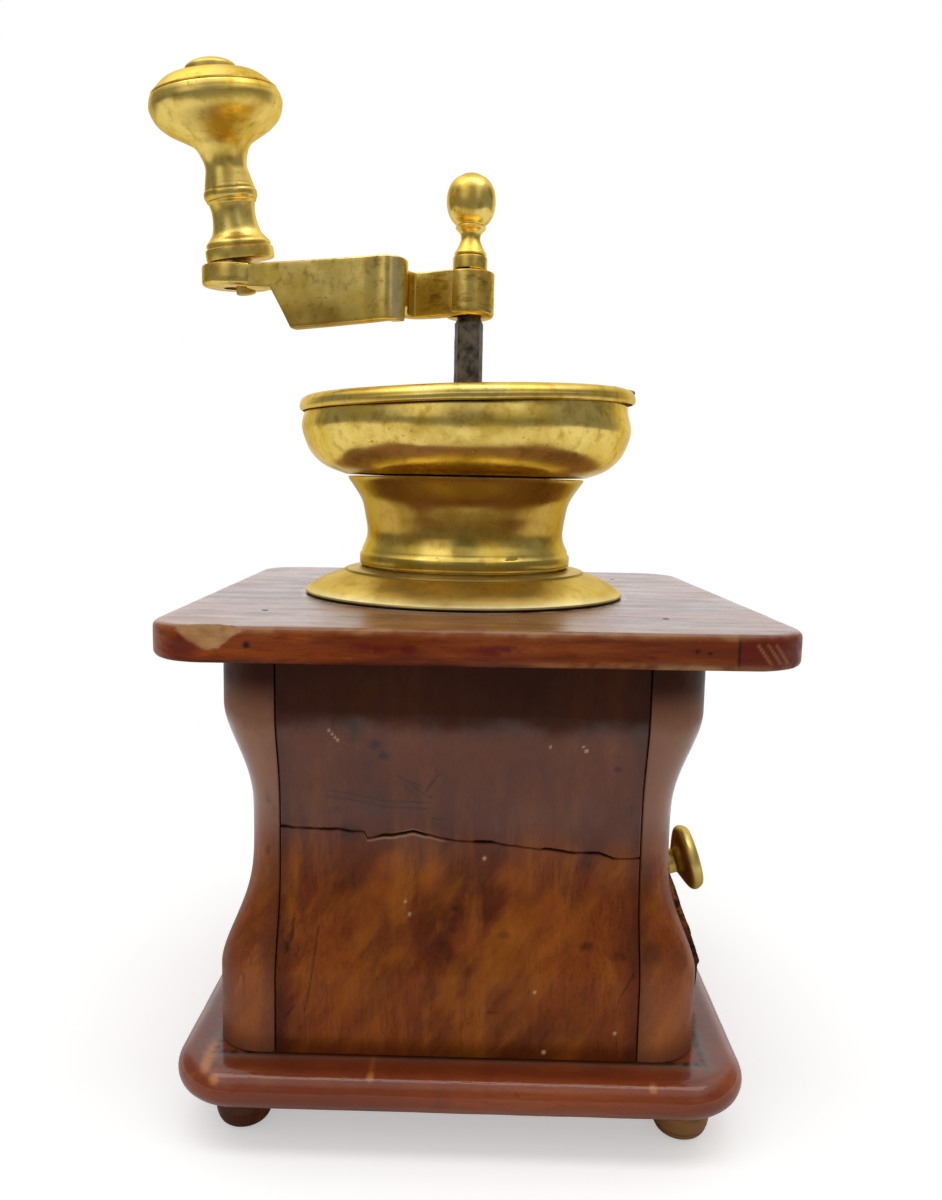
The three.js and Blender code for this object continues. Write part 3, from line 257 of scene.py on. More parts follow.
def grid_faces(rows, columns, close_rows=False, close_columns=False):
    row = np.arange(rows if close_rows else rows - 1)
    column = np.arange(columns if close_columns else columns - 1)
    row, column = np.meshgrid(row, column, indexing="ij")
    next_row, next_column = (row + 1) % rows, (column + 1) % columns
    corners = [row * columns + column, row * columns + next_column,
               next_row * columns + next_column, next_row * columns + column]
    return np.stack(corners, -1).reshape(-1, 4)


def tube(points):
    """A shell from rows of closed sections, open at its first and last row."""
    return points, grid_faces(*points.shape[:2], False, True)


def capped(points):
    """A shell from rows of closed sections, with one many-sided face at each end."""
    rows, columns = points.shape[:2]
    caps = [list(range(columns)), list(range((rows - 1) * columns, rows * columns))]
    return points, tube(points)[1].tolist() + caps


def lathe(profile, segments=144, matrix=None):
    """A shell turned about Z from [radius, z]. A profile that leaves the axis is a closed loop."""
    profile = np.array(profile, float)
    closed = not (profile[0, 0] == 0 and profile[-1, 0] == 0)
    angle = np.arange(segments) / segments * 2 * math.pi
    points = np.stack([profile[:, :1] * np.cos(angle), profile[:, :1] * np.sin(angle),
                       np.repeat(profile[:, 1:], segments, 1)], -1)
    return moved(points, matrix), grid_faces(len(profile), segments, closed, True)


def moved(points, matrix):
    if matrix is None:
        return points
    matrix = np.array(matrix)
    return points @ matrix[:3, :3].T + matrix[:3, 3]


def raised(profile, height):
    return [(radius, z + height) for radius, z in profile]


def finer(profile, step):
    """The same profile with extra points, so that no stretch is longer than step."""
    result = [profile[0]]
    for a, b in zip(profile[:-1], profile[1:]):
        parts = max(1, math.ceil(math.dist(a, b) / step))
        start, reach = np.array(a), np.array(b) - np.array(a)
        result += [tuple(start + reach * (i / parts)) for i in range(1, parts + 1)]
    return result


def level_row(outline_points, z):
    """The points of a 2-D outline at one height."""
    return np.column_stack([outline_points, np.full(len(outline_points), z)])


def ring_arc(radius, start, end, count):
    return [(math.cos(a) * radius, math.sin(a) * radius) for a in np.linspace(start, end, count)]


def prism(route, z0, z1):
    """A shell from an outline of 2-D points between two heights."""
    return capped(np.array([level_row(route, z) for z in (z0, z1)]))


def outline(half, corner, count):
    """Points and outward directions round a square with rounded corners, evenly spaced."""
    straight = 2 * (half - corner)
    side = straight + math.pi / 2 * corner
    along = np.arange(count) / count * 4 * side
    quarter = np.floor(along / side)
    rest = along - quarter * side
    angle = np.clip((rest - straight) / corner, 0, math.pi / 2)
    out = np.stack([np.cos(angle), np.sin(angle)], -1)
    centre = np.stack([np.full(count, half - corner), np.minimum(rest, straight) - (half - corner)], -1)
    point = centre + out * corner
    turn = quarter * math.pi / 2
    cos, sin = np.cos(turn), np.sin(turn)

    def turned(v):
        return np.stack([v[:, 0] * cos - v[:, 1] * sin, v[:, 0] * sin + v[:, 1] * cos], -1)
    return turned(point), turned(out)


def carcass_half(z):
    """Half width of the carcass at a height."""
    z = np.asarray(z, float)
    up = np.clip((z - WAIST_Z) / (CARCASS_TOP - UPPER_STRAIGHT - WAIST_Z), 0, 1)
    down = np.clip((WAIST_Z - z) / (WAIST_Z - BASE_TOP - LOWER_STRAIGHT), 0, 1)
    return WAIST_HALF + TOP_FLARE * eased(up ** UPPER_SWEEP) + BOTTOM_FLARE * eased(down ** LOWER_SWEEP)


# Meshes and pieces

def make_mesh(name, shells, layers=None, weld=True):
    """A mesh of shells of (points, faces) that face outward, with layers of one value per point."""
    points = []
    faces = []
    start = 0
    for shell_points, shell_faces in shells:
        points.append(shell_points.reshape(-1, 3))
        faces += [[int(i) + start for i in face] for face in shell_faces]
        start += len(points[-1])
    mesh = bpy.data.meshes.new(name)
    mesh.from_pydata((np.concatenate(points) * MM).tolist(), [], faces)
    for layer, values in (layers or {}).items():
        attribute = mesh.attributes.new(layer, "FLOAT", "POINT")
        attribute.data.foreach_set("value", np.asarray(values, np.float32).ravel())
    work = bmesh.new()
    work.from_mesh(mesh)
    if weld:
        bmesh.ops.remove_doubles(work, verts=work.verts, dist=1e-6)
        bmesh.ops.dissolve_degenerate(work, edges=work.edges, dist=1e-7)
    bmesh.ops.recalc_face_normals(work, faces=work.faces)
    work.to_mesh(mesh)
    work.free()
    return mesh


def add_object(name, data):
    made = bpy.data.objects.new(name, data)
    bpy.context.scene.collection.objects.link(made)
    return made


def make_piece(node, shells, material, layers=None, sharp=38):
    """One object that stands for a CAD node, on its body."""
    name = node + "_fine"
    mesh = make_mesh(name, shells, layers)
    mesh.polygons.foreach_set("use_smooth", [True] * len(mesh.polygons))
    mesh.set_sharp_from_angle(angle=math.radians(sharp))
    mesh.materials.append(material)
    piece = add_object(name, mesh)
    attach(piece, BODY_OF[node])
    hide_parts(node)
    return piece


def apply_modifiers(piece):
    bpy.context.view_layer.update()
    shaped = piece.evaluated_get(bpy.context.evaluated_depsgraph_get())
    mesh = bpy.data.meshes.new_from_object(shaped)
    piece.modifiers.clear()
    piece.data = mesh


def cut_out(piece, cutters, bevel=0.0):
    """Cuts the cutters' shapes from a piece, and rounds its edges by bevel millimetres."""
    for shell in cutters:
        cutter = add_object("cutter", make_mesh("cutter", [shell], weld=False))
        modifier = piece.modifiers.new("cut", "BOOLEAN")
        modifier.object = cutter
        modifier.solver = "EXACT"
        apply_modifiers(piece)
        bpy.data.objects.remove(cutter)
    if bevel:
        modifier = piece.modifiers.new("edge", "BEVEL")
        modifier.width = bevel * MM
        modifier.segments = 2
        modifier.limit_method = "ANGLE"
        modifier.angle_limit = math.radians(50)
        apply_modifiers(piece)
    piece.data.set_sharp_from_angle(angle=math.radians(38))


# Materials

def srgb(red, green, blue):
    """A colour of 0 to 255 levels, as linear light."""
    def linear(level):
        level /= 255
        return level / 12.92 if level <= 0.04045 else ((level + 0.055) / 1.055) ** 2.4
    return (linear(red), linear(green), linear(blue), 1.0)


class Nodes:
    """Adds nodes to a material's or world's tree. Values are numbers, colours or sockets."""

    def __init__(self, owner):
        owner.use_nodes = True
        self.tree = owner.node_tree
        self.tree.nodes.clear()

    def node(self, kind, **settings):
        node = self.tree.nodes.new(kind)
        for key, value in settings.items():
            setattr(node, key, value)
        return node

    def link(self, socket, value):
        if isinstance(value, bpy.types.NodeSocket):
            self.tree.links.new(value, socket)
        else:
            socket.default_value = value

    def math(self, operation, a, b=0.0, clamp=False):
        node = self.node("ShaderNodeMath", operation=operation, use_clamp=clamp)
        self.link(node.inputs[0], a)
        self.link(node.inputs[1], b)
        return node.outputs[0]

    def scaled(self, a, b):
        return self.math("MULTIPLY", a, b)

    def times(self, a, b):
        """The product of two shares, kept from 0 to 1."""
        return self.math("MULTIPLY", a, b, clamp=True)

    def plus(self, a, b):
        return self.math("ADD", a, b)

    def minus(self, a, b):
        return self.math("SUBTRACT", a, b)

    def step(self, value, low, high):
        """0 at low and 1 at high, smoothly. low may be above high."""
        node = self.node("ShaderNodeMapRange", interpolation_type="SMOOTHSTEP")
        self.link(node.inputs["Value"], value)
        ends = (low, high, 0.0, 1.0) if low < high else (high, low, 1.0, 0.0)
        for key, end in zip(("From Min", "From Max", "To Min", "To Max"), ends):
            node.inputs[key].default_value = end
        return node.outputs["Result"]

    def band(self, value, centre, width):
        """1 at centre, 0 beyond width on either side."""
        return self.step(self.math("ABSOLUTE", self.minus(value, centre)), width, 0.0)


class Look(Nodes):
    """Builds one material's nodes, with places in millimetres. color is what is painted so far."""

    def __init__(self, name):
        self.material = bpy.data.materials.new(name)
        super().__init__(self.material)
        place = self.node("ShaderNodeTexCoord").outputs["Object"]
        self.place = self.vector("MULTIPLY", place, (1 / MM,) * 3)
        parts = self.node("ShaderNodeSeparateXYZ")
        self.link(parts.inputs[0], self.place)
        self.x, self.y, self.z = parts.outputs
        self.color = None

    def vector(self, operation, a, b):
        node = self.node("ShaderNodeVectorMath", operation=operation)
        self.link(node.inputs[0], a)
        self.link(node.inputs[1], b)
        return node.outputs["Value"] if operation == "LENGTH" else node.outputs[0]

    def axis_distance(self):
        """The distance of a place from the shaft's axis."""
        return self.vector("LENGTH", self.vector("MULTIPLY", self.place, (1, 1, 0)), (0, 0, 0))

    def slanted(self, degrees):
        """The place, turned about Y, so that what runs along Z leans to the right."""
        node = self.node("ShaderNodeVectorRotate", rotation_type="Y_AXIS")
        self.link(node.inputs["Vector"], self.place)
        node.inputs["Angle"].default_value = math.radians(-degrees)
        return node.outputs[0]

    def noise(self, size, stretch=(1, 1, 1), detail=3, rough=0.55, shift=0.0, place=None):
        """Noise around 0.5, with lumps of about size millimetres, longer where stretch is above 1."""
        scale = tuple(1 / (size * s) for s in stretch)
        place = self.vector("MULTIPLY", place or self.place, scale)
        if shift:
            place = self.vector("ADD", place, (shift, shift * 1.7, shift * 0.6))
        node = self.node("ShaderNodeTexNoise")
        self.link(node.inputs["Vector"], place)
        node.inputs["Scale"].default_value = 1.0
        node.inputs["Detail"].default_value = detail
        node.inputs["Roughness"].default_value = rough
        return node.outputs["Fac"]

    def patches(self, low, high, *size, **settings):
        """0 where noise is at low and 1 where it is at high."""
        return self.step(self.noise(*size, **settings), low, high)

    def varied(self, low, high, *size, **settings):
        """Noise as a number round the middle of low and high."""
        return self.blend(self.noise(*size, **settings), low, high)

    def spot(self, centre, radii):
        """1 in the middle of an oval place, 0 past its radii."""
        offset = self.vector("SUBTRACT", self.place, centre)
        offset = self.vector("MULTIPLY", offset, tuple(1 / r for r in radii))
        return self.step(self.vector("LENGTH", offset, (0, 0, 0)), 1.0, 0.4)

    def line(self, slope, y, width):
        """1 on a line along X that starts from y and rises by slope."""
        return self.band(self.minus(self.y, self.scaled(self.x, slope)), y, width)

    def layer(self, name):
        return self.node("ShaderNodeAttribute", attribute_name=name).outputs["Fac"]

    def mix(self, factor, a, b):
        node = self.node("ShaderNodeMix", data_type="RGBA")
        for index, value in ((0, factor), (6, a), (7, b)):
            self.link(node.inputs[index], value)
        return node.outputs[2]

    def paint(self, share, color, strength=None):
        """Lays a colour over the look's own. color is 0 to 255 levels or a socket."""
        if strength is not None:
            share = self.times(share, strength)
        self.color = self.mix(share, self.color, srgb(*color) if isinstance(color, tuple) else color)

    def blend(self, factor, low, high):
        """A number from low to high as factor goes from 0 to 1."""
        return self.plus(self.scaled(factor, high - low), low)

    def bump(self, height, distance, strength=1.0):
        node = self.node("ShaderNodeBump")
        node.inputs["Strength"].default_value = strength
        node.inputs["Distance"].default_value = distance * MM
        self.link(node.inputs["Height"], height)
        return node.outputs["Normal"]

    def finish(self, **settings):
        """The material, with the look's colour and the shader's other inputs."""
        shader = self.node("ShaderNodeBsdfPrincipled")
        self.link(shader.inputs["Base Color"], self.color)
        for key, value in settings.items():
            self.link(shader.inputs[key.replace("_", " ")], value)
        output = self.node("ShaderNodeOutputMaterial")
        self.link(output.inputs["Surface"], shader.outputs[0])
        return self.material


class Wood(Look):
    """Red-brown shellacked wood. grain stretches its fibres along one axis."""

    def __init__(self, name, grain, tone=0.0, light=False):
        super().__init__(name)

        def along(share):
            return tuple(g * share for g in grain)
        large = self.patches(0.32, 0.66, 34, tuple(max(g, 1) for g in along(0.22)), detail=2, shift=tone)
        figure = self.patches(0.46, 0.74, 9, along(0.7), detail=4, shift=tone + 3)
        self.fibre = self.noise(0.75, grain, detail=3, rough=0.65, shift=tone + 8)
        self.pores = self.patches(0.60, 0.74, 0.42, along(0.6), detail=2, shift=tone + 12)
        self.color = self.mix(large, srgb(92, 36, 9), srgb(132, 60, 14))
        self.paint(figure, (170, 94, 24), 0.62)
        self.paint(self.step(self.fibre, 0.42, 0.74), (62, 24, 10), 0.38)
        self.paint(self.pores, (38, 15, 7), 0.6)
        self.paint(self.patches(0.50, 0.72, 15, detail=4, rough=0.6, shift=tone + 17), (48, 18, 8), 0.5)
        self.paint(self.patches(0.76, 0.82, 2.6, detail=1, shift=tone + 21), (46, 18, 12), 0.5)
        if light:
            self.paint(0.32, (158, 66, 20))

    def finish_wood(self, rough=0.42, coat=1.0, coat_rough=0.2):
        """The material. coat is how much of the shellac's film is left: a number or socket."""
        roughness = self.blend(self.patches(0.3, 0.7, 14, detail=3, shift=31), rough - 0.06, rough + 0.1)
        height = self.plus(self.scaled(self.fibre, 0.35), self.scaled(self.pores, -0.5))
        height = self.plus(height, self.scaled(self.noise(7, detail=2, shift=40), 1.2))
        film = self.plus(height, self.scaled(self.noise(2.2, detail=3, shift=43), 0.5))
        return self.finish(Roughness=roughness, Normal=self.bump(height, 0.14, 0.7), Specular_IOR_Level=0.06,
                           Coat_Normal=self.bump(film, 0.05, 0.5), Coat_Weight=coat,
                           Coat_Roughness=coat_rough, Coat_IOR=1.5)


def carcass_wood(name, tone=0.0, damaged=False):
    """The carcass: darker on its upper half, with a painted shadow under the top board and painted shade over
    the base, redder and flamed on its lower half; walls and posts get painted sheen on an upper band and near
    the foot.
    """
    look = Wood(name, grain=(1, 1, 8), tone=tone)
    z = look.z
    look.paint(look.step(z, 52.0, 66.0), (78, 34, 16), 0.62)
    lean = look.slanted(33)
    flame = look.patches(0.42, 0.74, 11, (1, 1, 3.0), detail=4, rough=0.6, shift=tone + 45, place=lean)
    shade = look.patches(0.46, 0.74, 10, (1, 1, 3.2), detail=4, rough=0.6, shift=tone + 48, place=lean)
    low = look.step(z, 64.0, 50.0)
    look.paint(look.times(shade, low), (76, 30, 7), 0.55)
    look.paint(look.times(flame, low), (176, 98, 18), 0.6)
    # Painted shadow of the top board's overhang: a dark band under the board, with a wavy lower edge.
    head = look.step(look.plus(z, look.scaled(look.noise(9, detail=3, shift=49), 6.0)), 86.5, 93.5)
    look.paint(head, (38, 14, 6), 0.7)
    # Painted shade where the carcass meets the base: darker towards the foot.
    look.paint(look.step(z, 15.0, 10.5), (64, 24, 12), 0.5)
    across = look.math("ABSOLUTE", look.minus(look.x, BOX_X))
    # Grime and painted shade along the seams where the front and rear panels meet the posts.
    seam_grime_and_shade = look.times(look.band(across, INNER_HALF, 5.0), look.varied(0.1, 0.9, 4, (1, 1, 3), shift=53))
    look.paint(seam_grime_and_shade, (52, 22, 12))
    if damaged:
        grain = look.varied(0.3, 1.0, 1.2, (1, 1, 5), detail=2, shift=51)
        look.paint(look.layer("worn"), (166, 84, 26), grain)
        look.paint(look.layer("pale"), (190, 158, 122))
        look.paint(look.layer("dark"), (16, 11, 10))
    else:
        # Painted sheen on the plain walls and posts: a paler band from below the waist up to the board's
        # shadow.
        look.paint(look.times(look.step(z, 48.0, 70.0), look.step(z, 99.0, 90.0)), (196, 138, 104), 0.34)
        # Painted sheen: paler again towards the foot.
        look.paint(look.step(z, 40.0, 20.0), (176, 118, 88), 0.22)
        look.paint(look.layer("dark"), (34, 22, 18))
        look.paint(look.layer("pale"), (176, 120, 72), 0.8)
    height = look.plus(z, look.scaled(look.noise(12, detail=3, shift=57), 9.0))
    upper = look.times(look.step(height, 54.0, 74.0), look.step(height, 95.0, 90.5))
    film = look.plus(look.scaled(upper, 0.8), look.scaled(look.noise(3.5, detail=3, shift=59), 0.34))
    return look.finish_wood(coat=film)


def board_wood(name):
    """The top board: red-brown at its edge, pale and greyed on top, partly by dust and partly by painted
    sheen.
    """
    look = Wood(name, grain=(9, 1, 1), tone=5.0, light=True)
    z = look.z
    top = look.step(z, BOARD_TOP - 0.7, BOARD_TOP - 0.1)
    # The top face painted paler and greyer in streaks: partly dust, partly painted sheen.
    streak = look.patches(0.35, 0.68, 3.2, (9, 1, 1), detail=4, rough=0.6, shift=61)
    look.paint(top, look.mix(streak, srgb(104, 74, 58), srgb(170, 142, 122)), 0.3)
    joint = look.times(look.line(0.045, -21.4, 0.32), look.times(top, look.step(look.x, -38.0, -42.0)))
    look.paint(joint, (30, 20, 16))
    crack = look.times(look.line(0.19, -2.6, 0.35), look.times(top, look.step(look.x, 40.0, 44.0)))
    look.paint(crack, (24, 16, 12))
    edge = look.times(look.step(z, BOARD_TOP - 0.9, BOARD_TOP - 1.8),
                      look.step(z, BOARD_LOW, BOARD_LOW + 1.5))
    flakes = look.patches(0.60, 0.66, 6.5, (2.4, 1, 1), detail=3, rough=0.6, shift=71)
    streaks = look.patches(0.42, 0.68, 2.4, (7, 1, 0.8), detail=5, rough=0.7, shift=73)
    bright = look.patches(0.55, 0.74, 3.0, (6, 1, 0.9), detail=4, rough=0.65, shift=75)
    look.paint(flakes, (92, 18, 14), look.times(edge, 0.6))
    look.paint(streaks, (84, 30, 8), look.times(edge, 0.6))
    look.paint(bright, (176, 88, 26), look.times(edge, 0.55))
    lower = look.step(z, BOARD_LOW + 1.6, BOARD_LOW + 0.4)
    look.paint(look.times(lower, look.patches(0.3, 0.6, 4, (3, 1, 1), shift=77)), (58, 22, 10), 0.75)
    stains = look.patches(0.46, 0.70, 14, (1.8, 1, 1), detail=5, rough=0.65, shift=79)
    look.paint(stains, (60, 36, 26), look.times(top, 0.7))
    look.paint(look.layer("maroon"), (98, 26, 18))
    bare = look.noise(1.1, (4, 1, 1), detail=3, shift=81)
    # Bare wood on worn arrises, scratches and the chip, and a painted highlight along the lower arris.
    look.paint(look.layer("worn"), look.mix(bare, srgb(128, 84, 46), srgb(190, 144, 92)))
    # Dark nicks, and a painted shade ring round the flange's foot.
    look.paint(look.layer("dark"), (36, 22, 16))
    look.paint(look.layer("dust"), (206, 200, 176), look.varied(0.2, 1.2, 1.4, detail=3, shift=91))
    patchy = look.patches(0.34, 0.62, 5, (7, 1, 1), detail=4, rough=0.65, shift=99)
    film = look.plus(look.scaled(top, 0.66), look.scaled(patchy, 0.34))
    return look.finish_wood(rough=0.4, coat=film, coat_rough=0.26)


def base_wood(name):
    look = Wood(name, grain=(9, 1, 1), tone=9.0, light=True)
    look.paint(look.step(look.z, BASE_TOP - 0.5, BASE_TOP - 0.05), (96, 44, 34), 0.4)
    look.paint(look.layer("dust"), (104, 98, 84), look.varied(0.1, 1.1, 1.6, detail=3, shift=95))
    look.paint(look.band(look.z, 2.6, 2.2), (76, 26, 22), 0.3)
    look.paint(look.layer("worn"), (184, 112, 54))
    # The dark layer is painted shade along the carcass's foot.
    look.paint(look.layer("dark"), (26, 14, 12))
    return look.finish_wood(rough=0.36, coat=0.8, coat_rough=0.1)


def drawer_wood(name):
    look = Wood(name, grain=(1, 9, 1), tone=14.0)
    rough = look.patches(0.40, 0.60, 3.4, detail=4, rough=0.65, shift=101)
    end = look.step(look.math("ABSOLUTE", look.y), 38.5, 40.6)
    look.paint(rough, (22, 15, 12), look.blend(end, 0.06, 0.95))
    edge = look.times(look.step(look.z, 30.0, 42.0), look.patches(0.45, 0.6, 2.2, detail=2, shift=105))
    look.paint(look.times(edge, end), (176, 98, 40), 0.7)
    return look.finish_wood(rough=0.62, coat=0.15, coat_rough=0.3)


def foot_wood(name):
    """The feet: the right ones paler, the left ones dark."""
    look = Wood(name, grain=(1, 1, 6), tone=19.0)
    look.paint(look.step(look.x, 40.0, 52.0), (150, 108, 60), 0.75)
    look.paint(look.step(look.x, -40.0, -50.0), (38, 24, 16), 0.7)
    look.paint(look.patches(0.5, 0.7, 0.8, (14, 14, 1), detail=2, shift=111), (46, 26, 16), 0.5)
    return look.finish_wood(rough=0.5, coat=0.3, coat_rough=0.25)


def raw_wood(name):
    look = Look(name)
    rings = look.patches(0.3, 0.7, 2.4, (12, 1, 1), detail=4, rough=0.6)
    look.color = look.mix(rings, srgb(118, 82, 48), srgb(178, 136, 88))
    look.paint(look.patches(0.52, 0.72, 16, detail=3, shift=9), (84, 54, 32), 0.5)
    fibre = look.noise(0.5, (14, 1, 1), detail=2, shift=4)
    return look.finish(Roughness=0.75, Normal=look.bump(fibre, 0.12, 0.5))


class Brass(Look):
    """Old brass: polished in some patches, browner and rougher in others, with small pits."""
    EDGE_TINT = (0.78, 0.66, 0.4, 1)

    def __init__(self, name, tone=0.0, dull=0.0, rough=0.2):
        super().__init__(name)
        patina = self.noise(11, detail=4, rough=0.6, shift=tone)
        self.color = self.mix(self.step(patina, 0.36, 0.66), srgb(232, 204, 114), srgb(214, 180, 80))
        self.paint(self.patches(0.48, 0.76, 3.2, detail=3, shift=tone + 5), (164, 130, 50), 0.6)
        pits = self.patches(0.70, 0.76, 0.9, detail=2, rough=0.5, shift=tone + 9)
        self.paint(pits, (98, 76, 30), 0.6)
        if dull:
            self.paint(dull, (186, 162, 98))
        waves = self.noise(8.5, detail=1, shift=tone + 15)
        fine = self.noise(0.35, (3, 3, 1), detail=2, shift=tone + 19)
        height = self.plus(self.scaled(waves, 1.0), self.scaled(pits, -0.10))
        self.height = self.plus(height, self.scaled(fine, 0.02))
        polished, worn = rough + dull * 0.25, rough + 0.12 + dull * 0.3
        self.roughness = self.blend(self.step(patina, 0.3, 0.7), polished, worn)

    def finish_brass(self):
        return self.finish(Roughness=self.roughness, Normal=self.bump(self.height, 0.35, 0.55), Metallic=1.0,
                           Specular_Tint=self.EDGE_TINT)


def hopper_brass(name):
    """The neck and bowl: tarnished below the bowl, with a painted reflection of the top board on the upper
    neck, an oily foot and a mottled side.
    """
    look = Brass(name, tone=2.0)
    z = look.z
    olive = look.times(look.step(z, NECK_TOP + 1.5, NECK_TOP - 1.5),
                       look.step(z, NECK_FOOT + 3.4, NECK_FOOT + 4.6))
    look.paint(olive, (196, 160, 58), 0.35)
    # Painted reflection of the top board: a wavy brown band over the upper neck.
    wander = look.plus(z, look.scaled(look.noise(6, detail=4, rough=0.6, shift=127), 7.0))
    look.paint(look.times(look.step(wander, 130.0, 133.0), olive), (150, 104, 28), 0.55)
    look.paint(look.band(z, NECK_FOOT + 1.8, 2.4), (150, 116, 24), 0.7)
    mottle = look.patches(0.50, 0.66, 3.2, (1.6, 1.6, 1), detail=5, rough=0.7, shift=129)
    look.paint(mottle, (160, 118, 40), look.times(look.step(z, BOWL_LOW + 9.0, BOWL_LOW + 12.0), 0.4))
    sparkle = look.patches(0.70, 0.75, 2.3, detail=1, shift=131)
    look.paint(sparkle, (214, 140, 40), look.band(z, BOWL_LOW + 7.5, 4.0))
    look.paint(look.spot((0.5, -28.5, 127.0), (5, 5, 4)), (92, 82, 40), 0.5)
    return look.finish_brass()


def lid_brass(name):
    look = Brass(name, tone=6.0, dull=0.15)
    look.paint(look.patches(0.64, 0.72, 4.2, detail=3, rough=0.6, shift=141), (104, 122, 74), 0.55)
    return look.finish_brass()


def plate_brass(name):
    """The crank arm: flecked, with painted shade on the plate's lower part, browner on the boss, and a
    painted highlight at the bend.
    """
    look = Brass(name, tone=11.0, dull=0.1)
    fleck = look.patches(0.52, 0.70, 2.6, (1.3, 1, 1.3), detail=5, rough=0.72, shift=161)
    look.paint(fleck, (128, 100, 34), 0.5)
    # Painted shade: browner over the lower part of the plate.
    look.paint(look.spot((-41, -12, 183.0), (17, 20, 8)), (134, 96, 22), 0.6)
    # Painted highlight: a pale upright streak on the strap's bend.
    look.paint(look.spot((-18.5, -17.5, 191.0), (2.0, 5, 14)), (240, 214, 176), 0.5)
    stain = look.patches(0.46, 0.66, 3.4, (2.2, 1, 0.5), detail=4, rough=0.65, shift=163)
    look.paint(look.times(stain, look.step(look.x, -16.0, -10.0)), (138, 92, 26), 0.65)
    look.paint(look.patches(0.76, 0.80, 1.5, detail=1, shift=165), (84, 54, 22), 0.7)
    return look.finish_brass()


def dusty_flange(name):
    look = Brass(name, tone=23.0, dull=0.4)
    radius = look.axis_distance()
    inside = look.step(radius, FLANGE_STEP + 0.2, FLANGE_STEP - 0.6)
    look.paint(inside, (214, 204, 160), look.varied(0.35, 0.75, 3, detail=3, shift=151))
    look.paint(look.band(radius, FLANGE_STEP, 0.5), (96, 78, 40), 0.6)
    rim = look.step(radius, FLANGE_RADIUS - 2.3, FLANGE_RADIUS - 0.2)
    look.paint(rim, (236, 226, 176), look.varied(0.2, 0.9, 2.2, detail=3, shift=153))
    # Painted shade where the flange's foot meets the board.
    look.paint(look.step(look.z, FLANGE_FOOT + 0.7, FLANGE_FOOT + 0.1), (92, 76, 44), 0.8)
    return look.finish_brass()


def iron_look(name, tone, base=(52, 48, 46), rust=0.25):
    look = Look(name)
    cloud = look.noise(3.0, detail=4, rough=0.6, shift=tone)
    look.color = look.mix(look.step(cloud, 0.3, 0.7), srgb(*base), srgb(128, 118, 104))
    look.paint(look.patches(0.55, 0.7, 2.1, detail=3, shift=tone + 4), (92, 56, 36), rust)
    height = look.noise(1.8, detail=3, shift=tone + 7)
    return look.finish(Roughness=look.blend(cloud, 0.36, 0.66), Normal=look.bump(height, 0.25, 0.6),
                       Metallic=0.85)


carcass_look = carcass_wood("carcass_wood")
front_look = carcass_wood("front_wood", tone=2.5, damaged=True)
hopper_look = hopper_brass("hopper_brass")
cover_look = lid_brass("lid_brass")
dark_iron = iron_look("dark_iron", tone=1.0)
cast_iron = iron_look("cast_iron", tone=9.0, base=(40, 38, 36), rust=0.35)
plain_wood = raw_wood("raw_wood")
foot_look = foot_wood("foot_wood")


# Wooden pieces

BASE_NICKS = [((-58.2, 9.0), 0.9), ((-55.4, 7.6), 0.8), ((-20.0, 8.6), 0.5), ((44.0, 8.2), 0.6)]


def make_base():
    low, high = box("base_board")
    half = (high[0] - low[0]) / 2
    thickness = high[2]
    nose = thickness / 2
    path, out = outline(half, BASE_CORNER, 900)
    face = path - out * nose
    rows = [level_row(face * share, 0) for share in np.linspace(0, 1, 16)[:-1]]
    for angle in np.linspace(0, math.pi, 26):
        rows.append(level_row(path - out * (1 - math.sin(angle)) * nose, (1 - math.cos(angle)) * nose))
    rows += [level_row(face * share, thickness) for share in np.linspace(1, 0, 60)[1:]]
    points = np.array(rows)
    radius = np.linalg.norm(points[..., :2], axis=-1, keepdims=True)
    rim = near(points[..., 2], nose, thickness * 0.7) * (radius[..., 0] > 40)
    dents = rim * np.maximum(lumps(points, 9, seed=3), 0) * 0.25
    points[..., :2] -= points[..., :2] / np.maximum(radius, 1) * dents[..., None]

    x, y, z = np.abs(points[..., 0]), np.abs(points[..., 1]), points[..., 2]
    from_middle = np.maximum(x, y)
    top = smooth_step(z, thickness - 0.6, thickness)
    edge = carcass_half(CARCASS_LOW)
    dust = near(from_middle, edge + 0.9, 1.3) * top * (0.45 + 0.55 * smooth_step(np.minimum(x, y), 38, 52))
    # Painted shade: a dark line where the carcass stands on the base.
    dark = near(from_middle, edge - 0.2, 0.55) * top
    arris = near(z, thickness * 0.86, 1.0) * smooth_step(lumps(points, 14, seed=9), 0.15, 0.6)
    worn = arris * smooth_step(from_middle, half - 6, half - 1) * 0.5
    front = smooth_step(-points[..., 1], 50, 56)
    nicks = [front * near_spot(points[..., [0, 2]], place, (size * 1.5, size)) for place, size in BASE_NICKS]
    points[..., 0] += (high[0] + low[0]) / 2
    make_piece("base_board", [tube(points)], base_wood("base_wood"),
               {"dust": dust, "dark": dark, "worn": most(worn, *nicks)})


# Marks on the top board's front edge, as places of x and z
CHIP = [(-61.5, 112.6), (-58.7, 110.6), (-53.5, 108.4), (-51.2, 107.2), (-48.9, 107.6), (-46.4, 109.6),
        (-43.4, 110.8), (-43.0, 112.6)]
CHIP_X = -52
FAR_ABOVE = 200
RED_SPANS = [(-22.5, -13.7), (-11.6, -8.1), (3.0, 16.1)]
EDGE_SCRATCH = np.array([(63, 110.5), (66, 106.5)])
DARK_NICKS = [((50.3, 109.0), (0.55, 0.55)), ((53.0, 108.6), (0.45, 0.45)), ((-43.2, 108.8), (0.8, 0.8)),
              ((59.2, 108.6), (0.3, 3.0))]


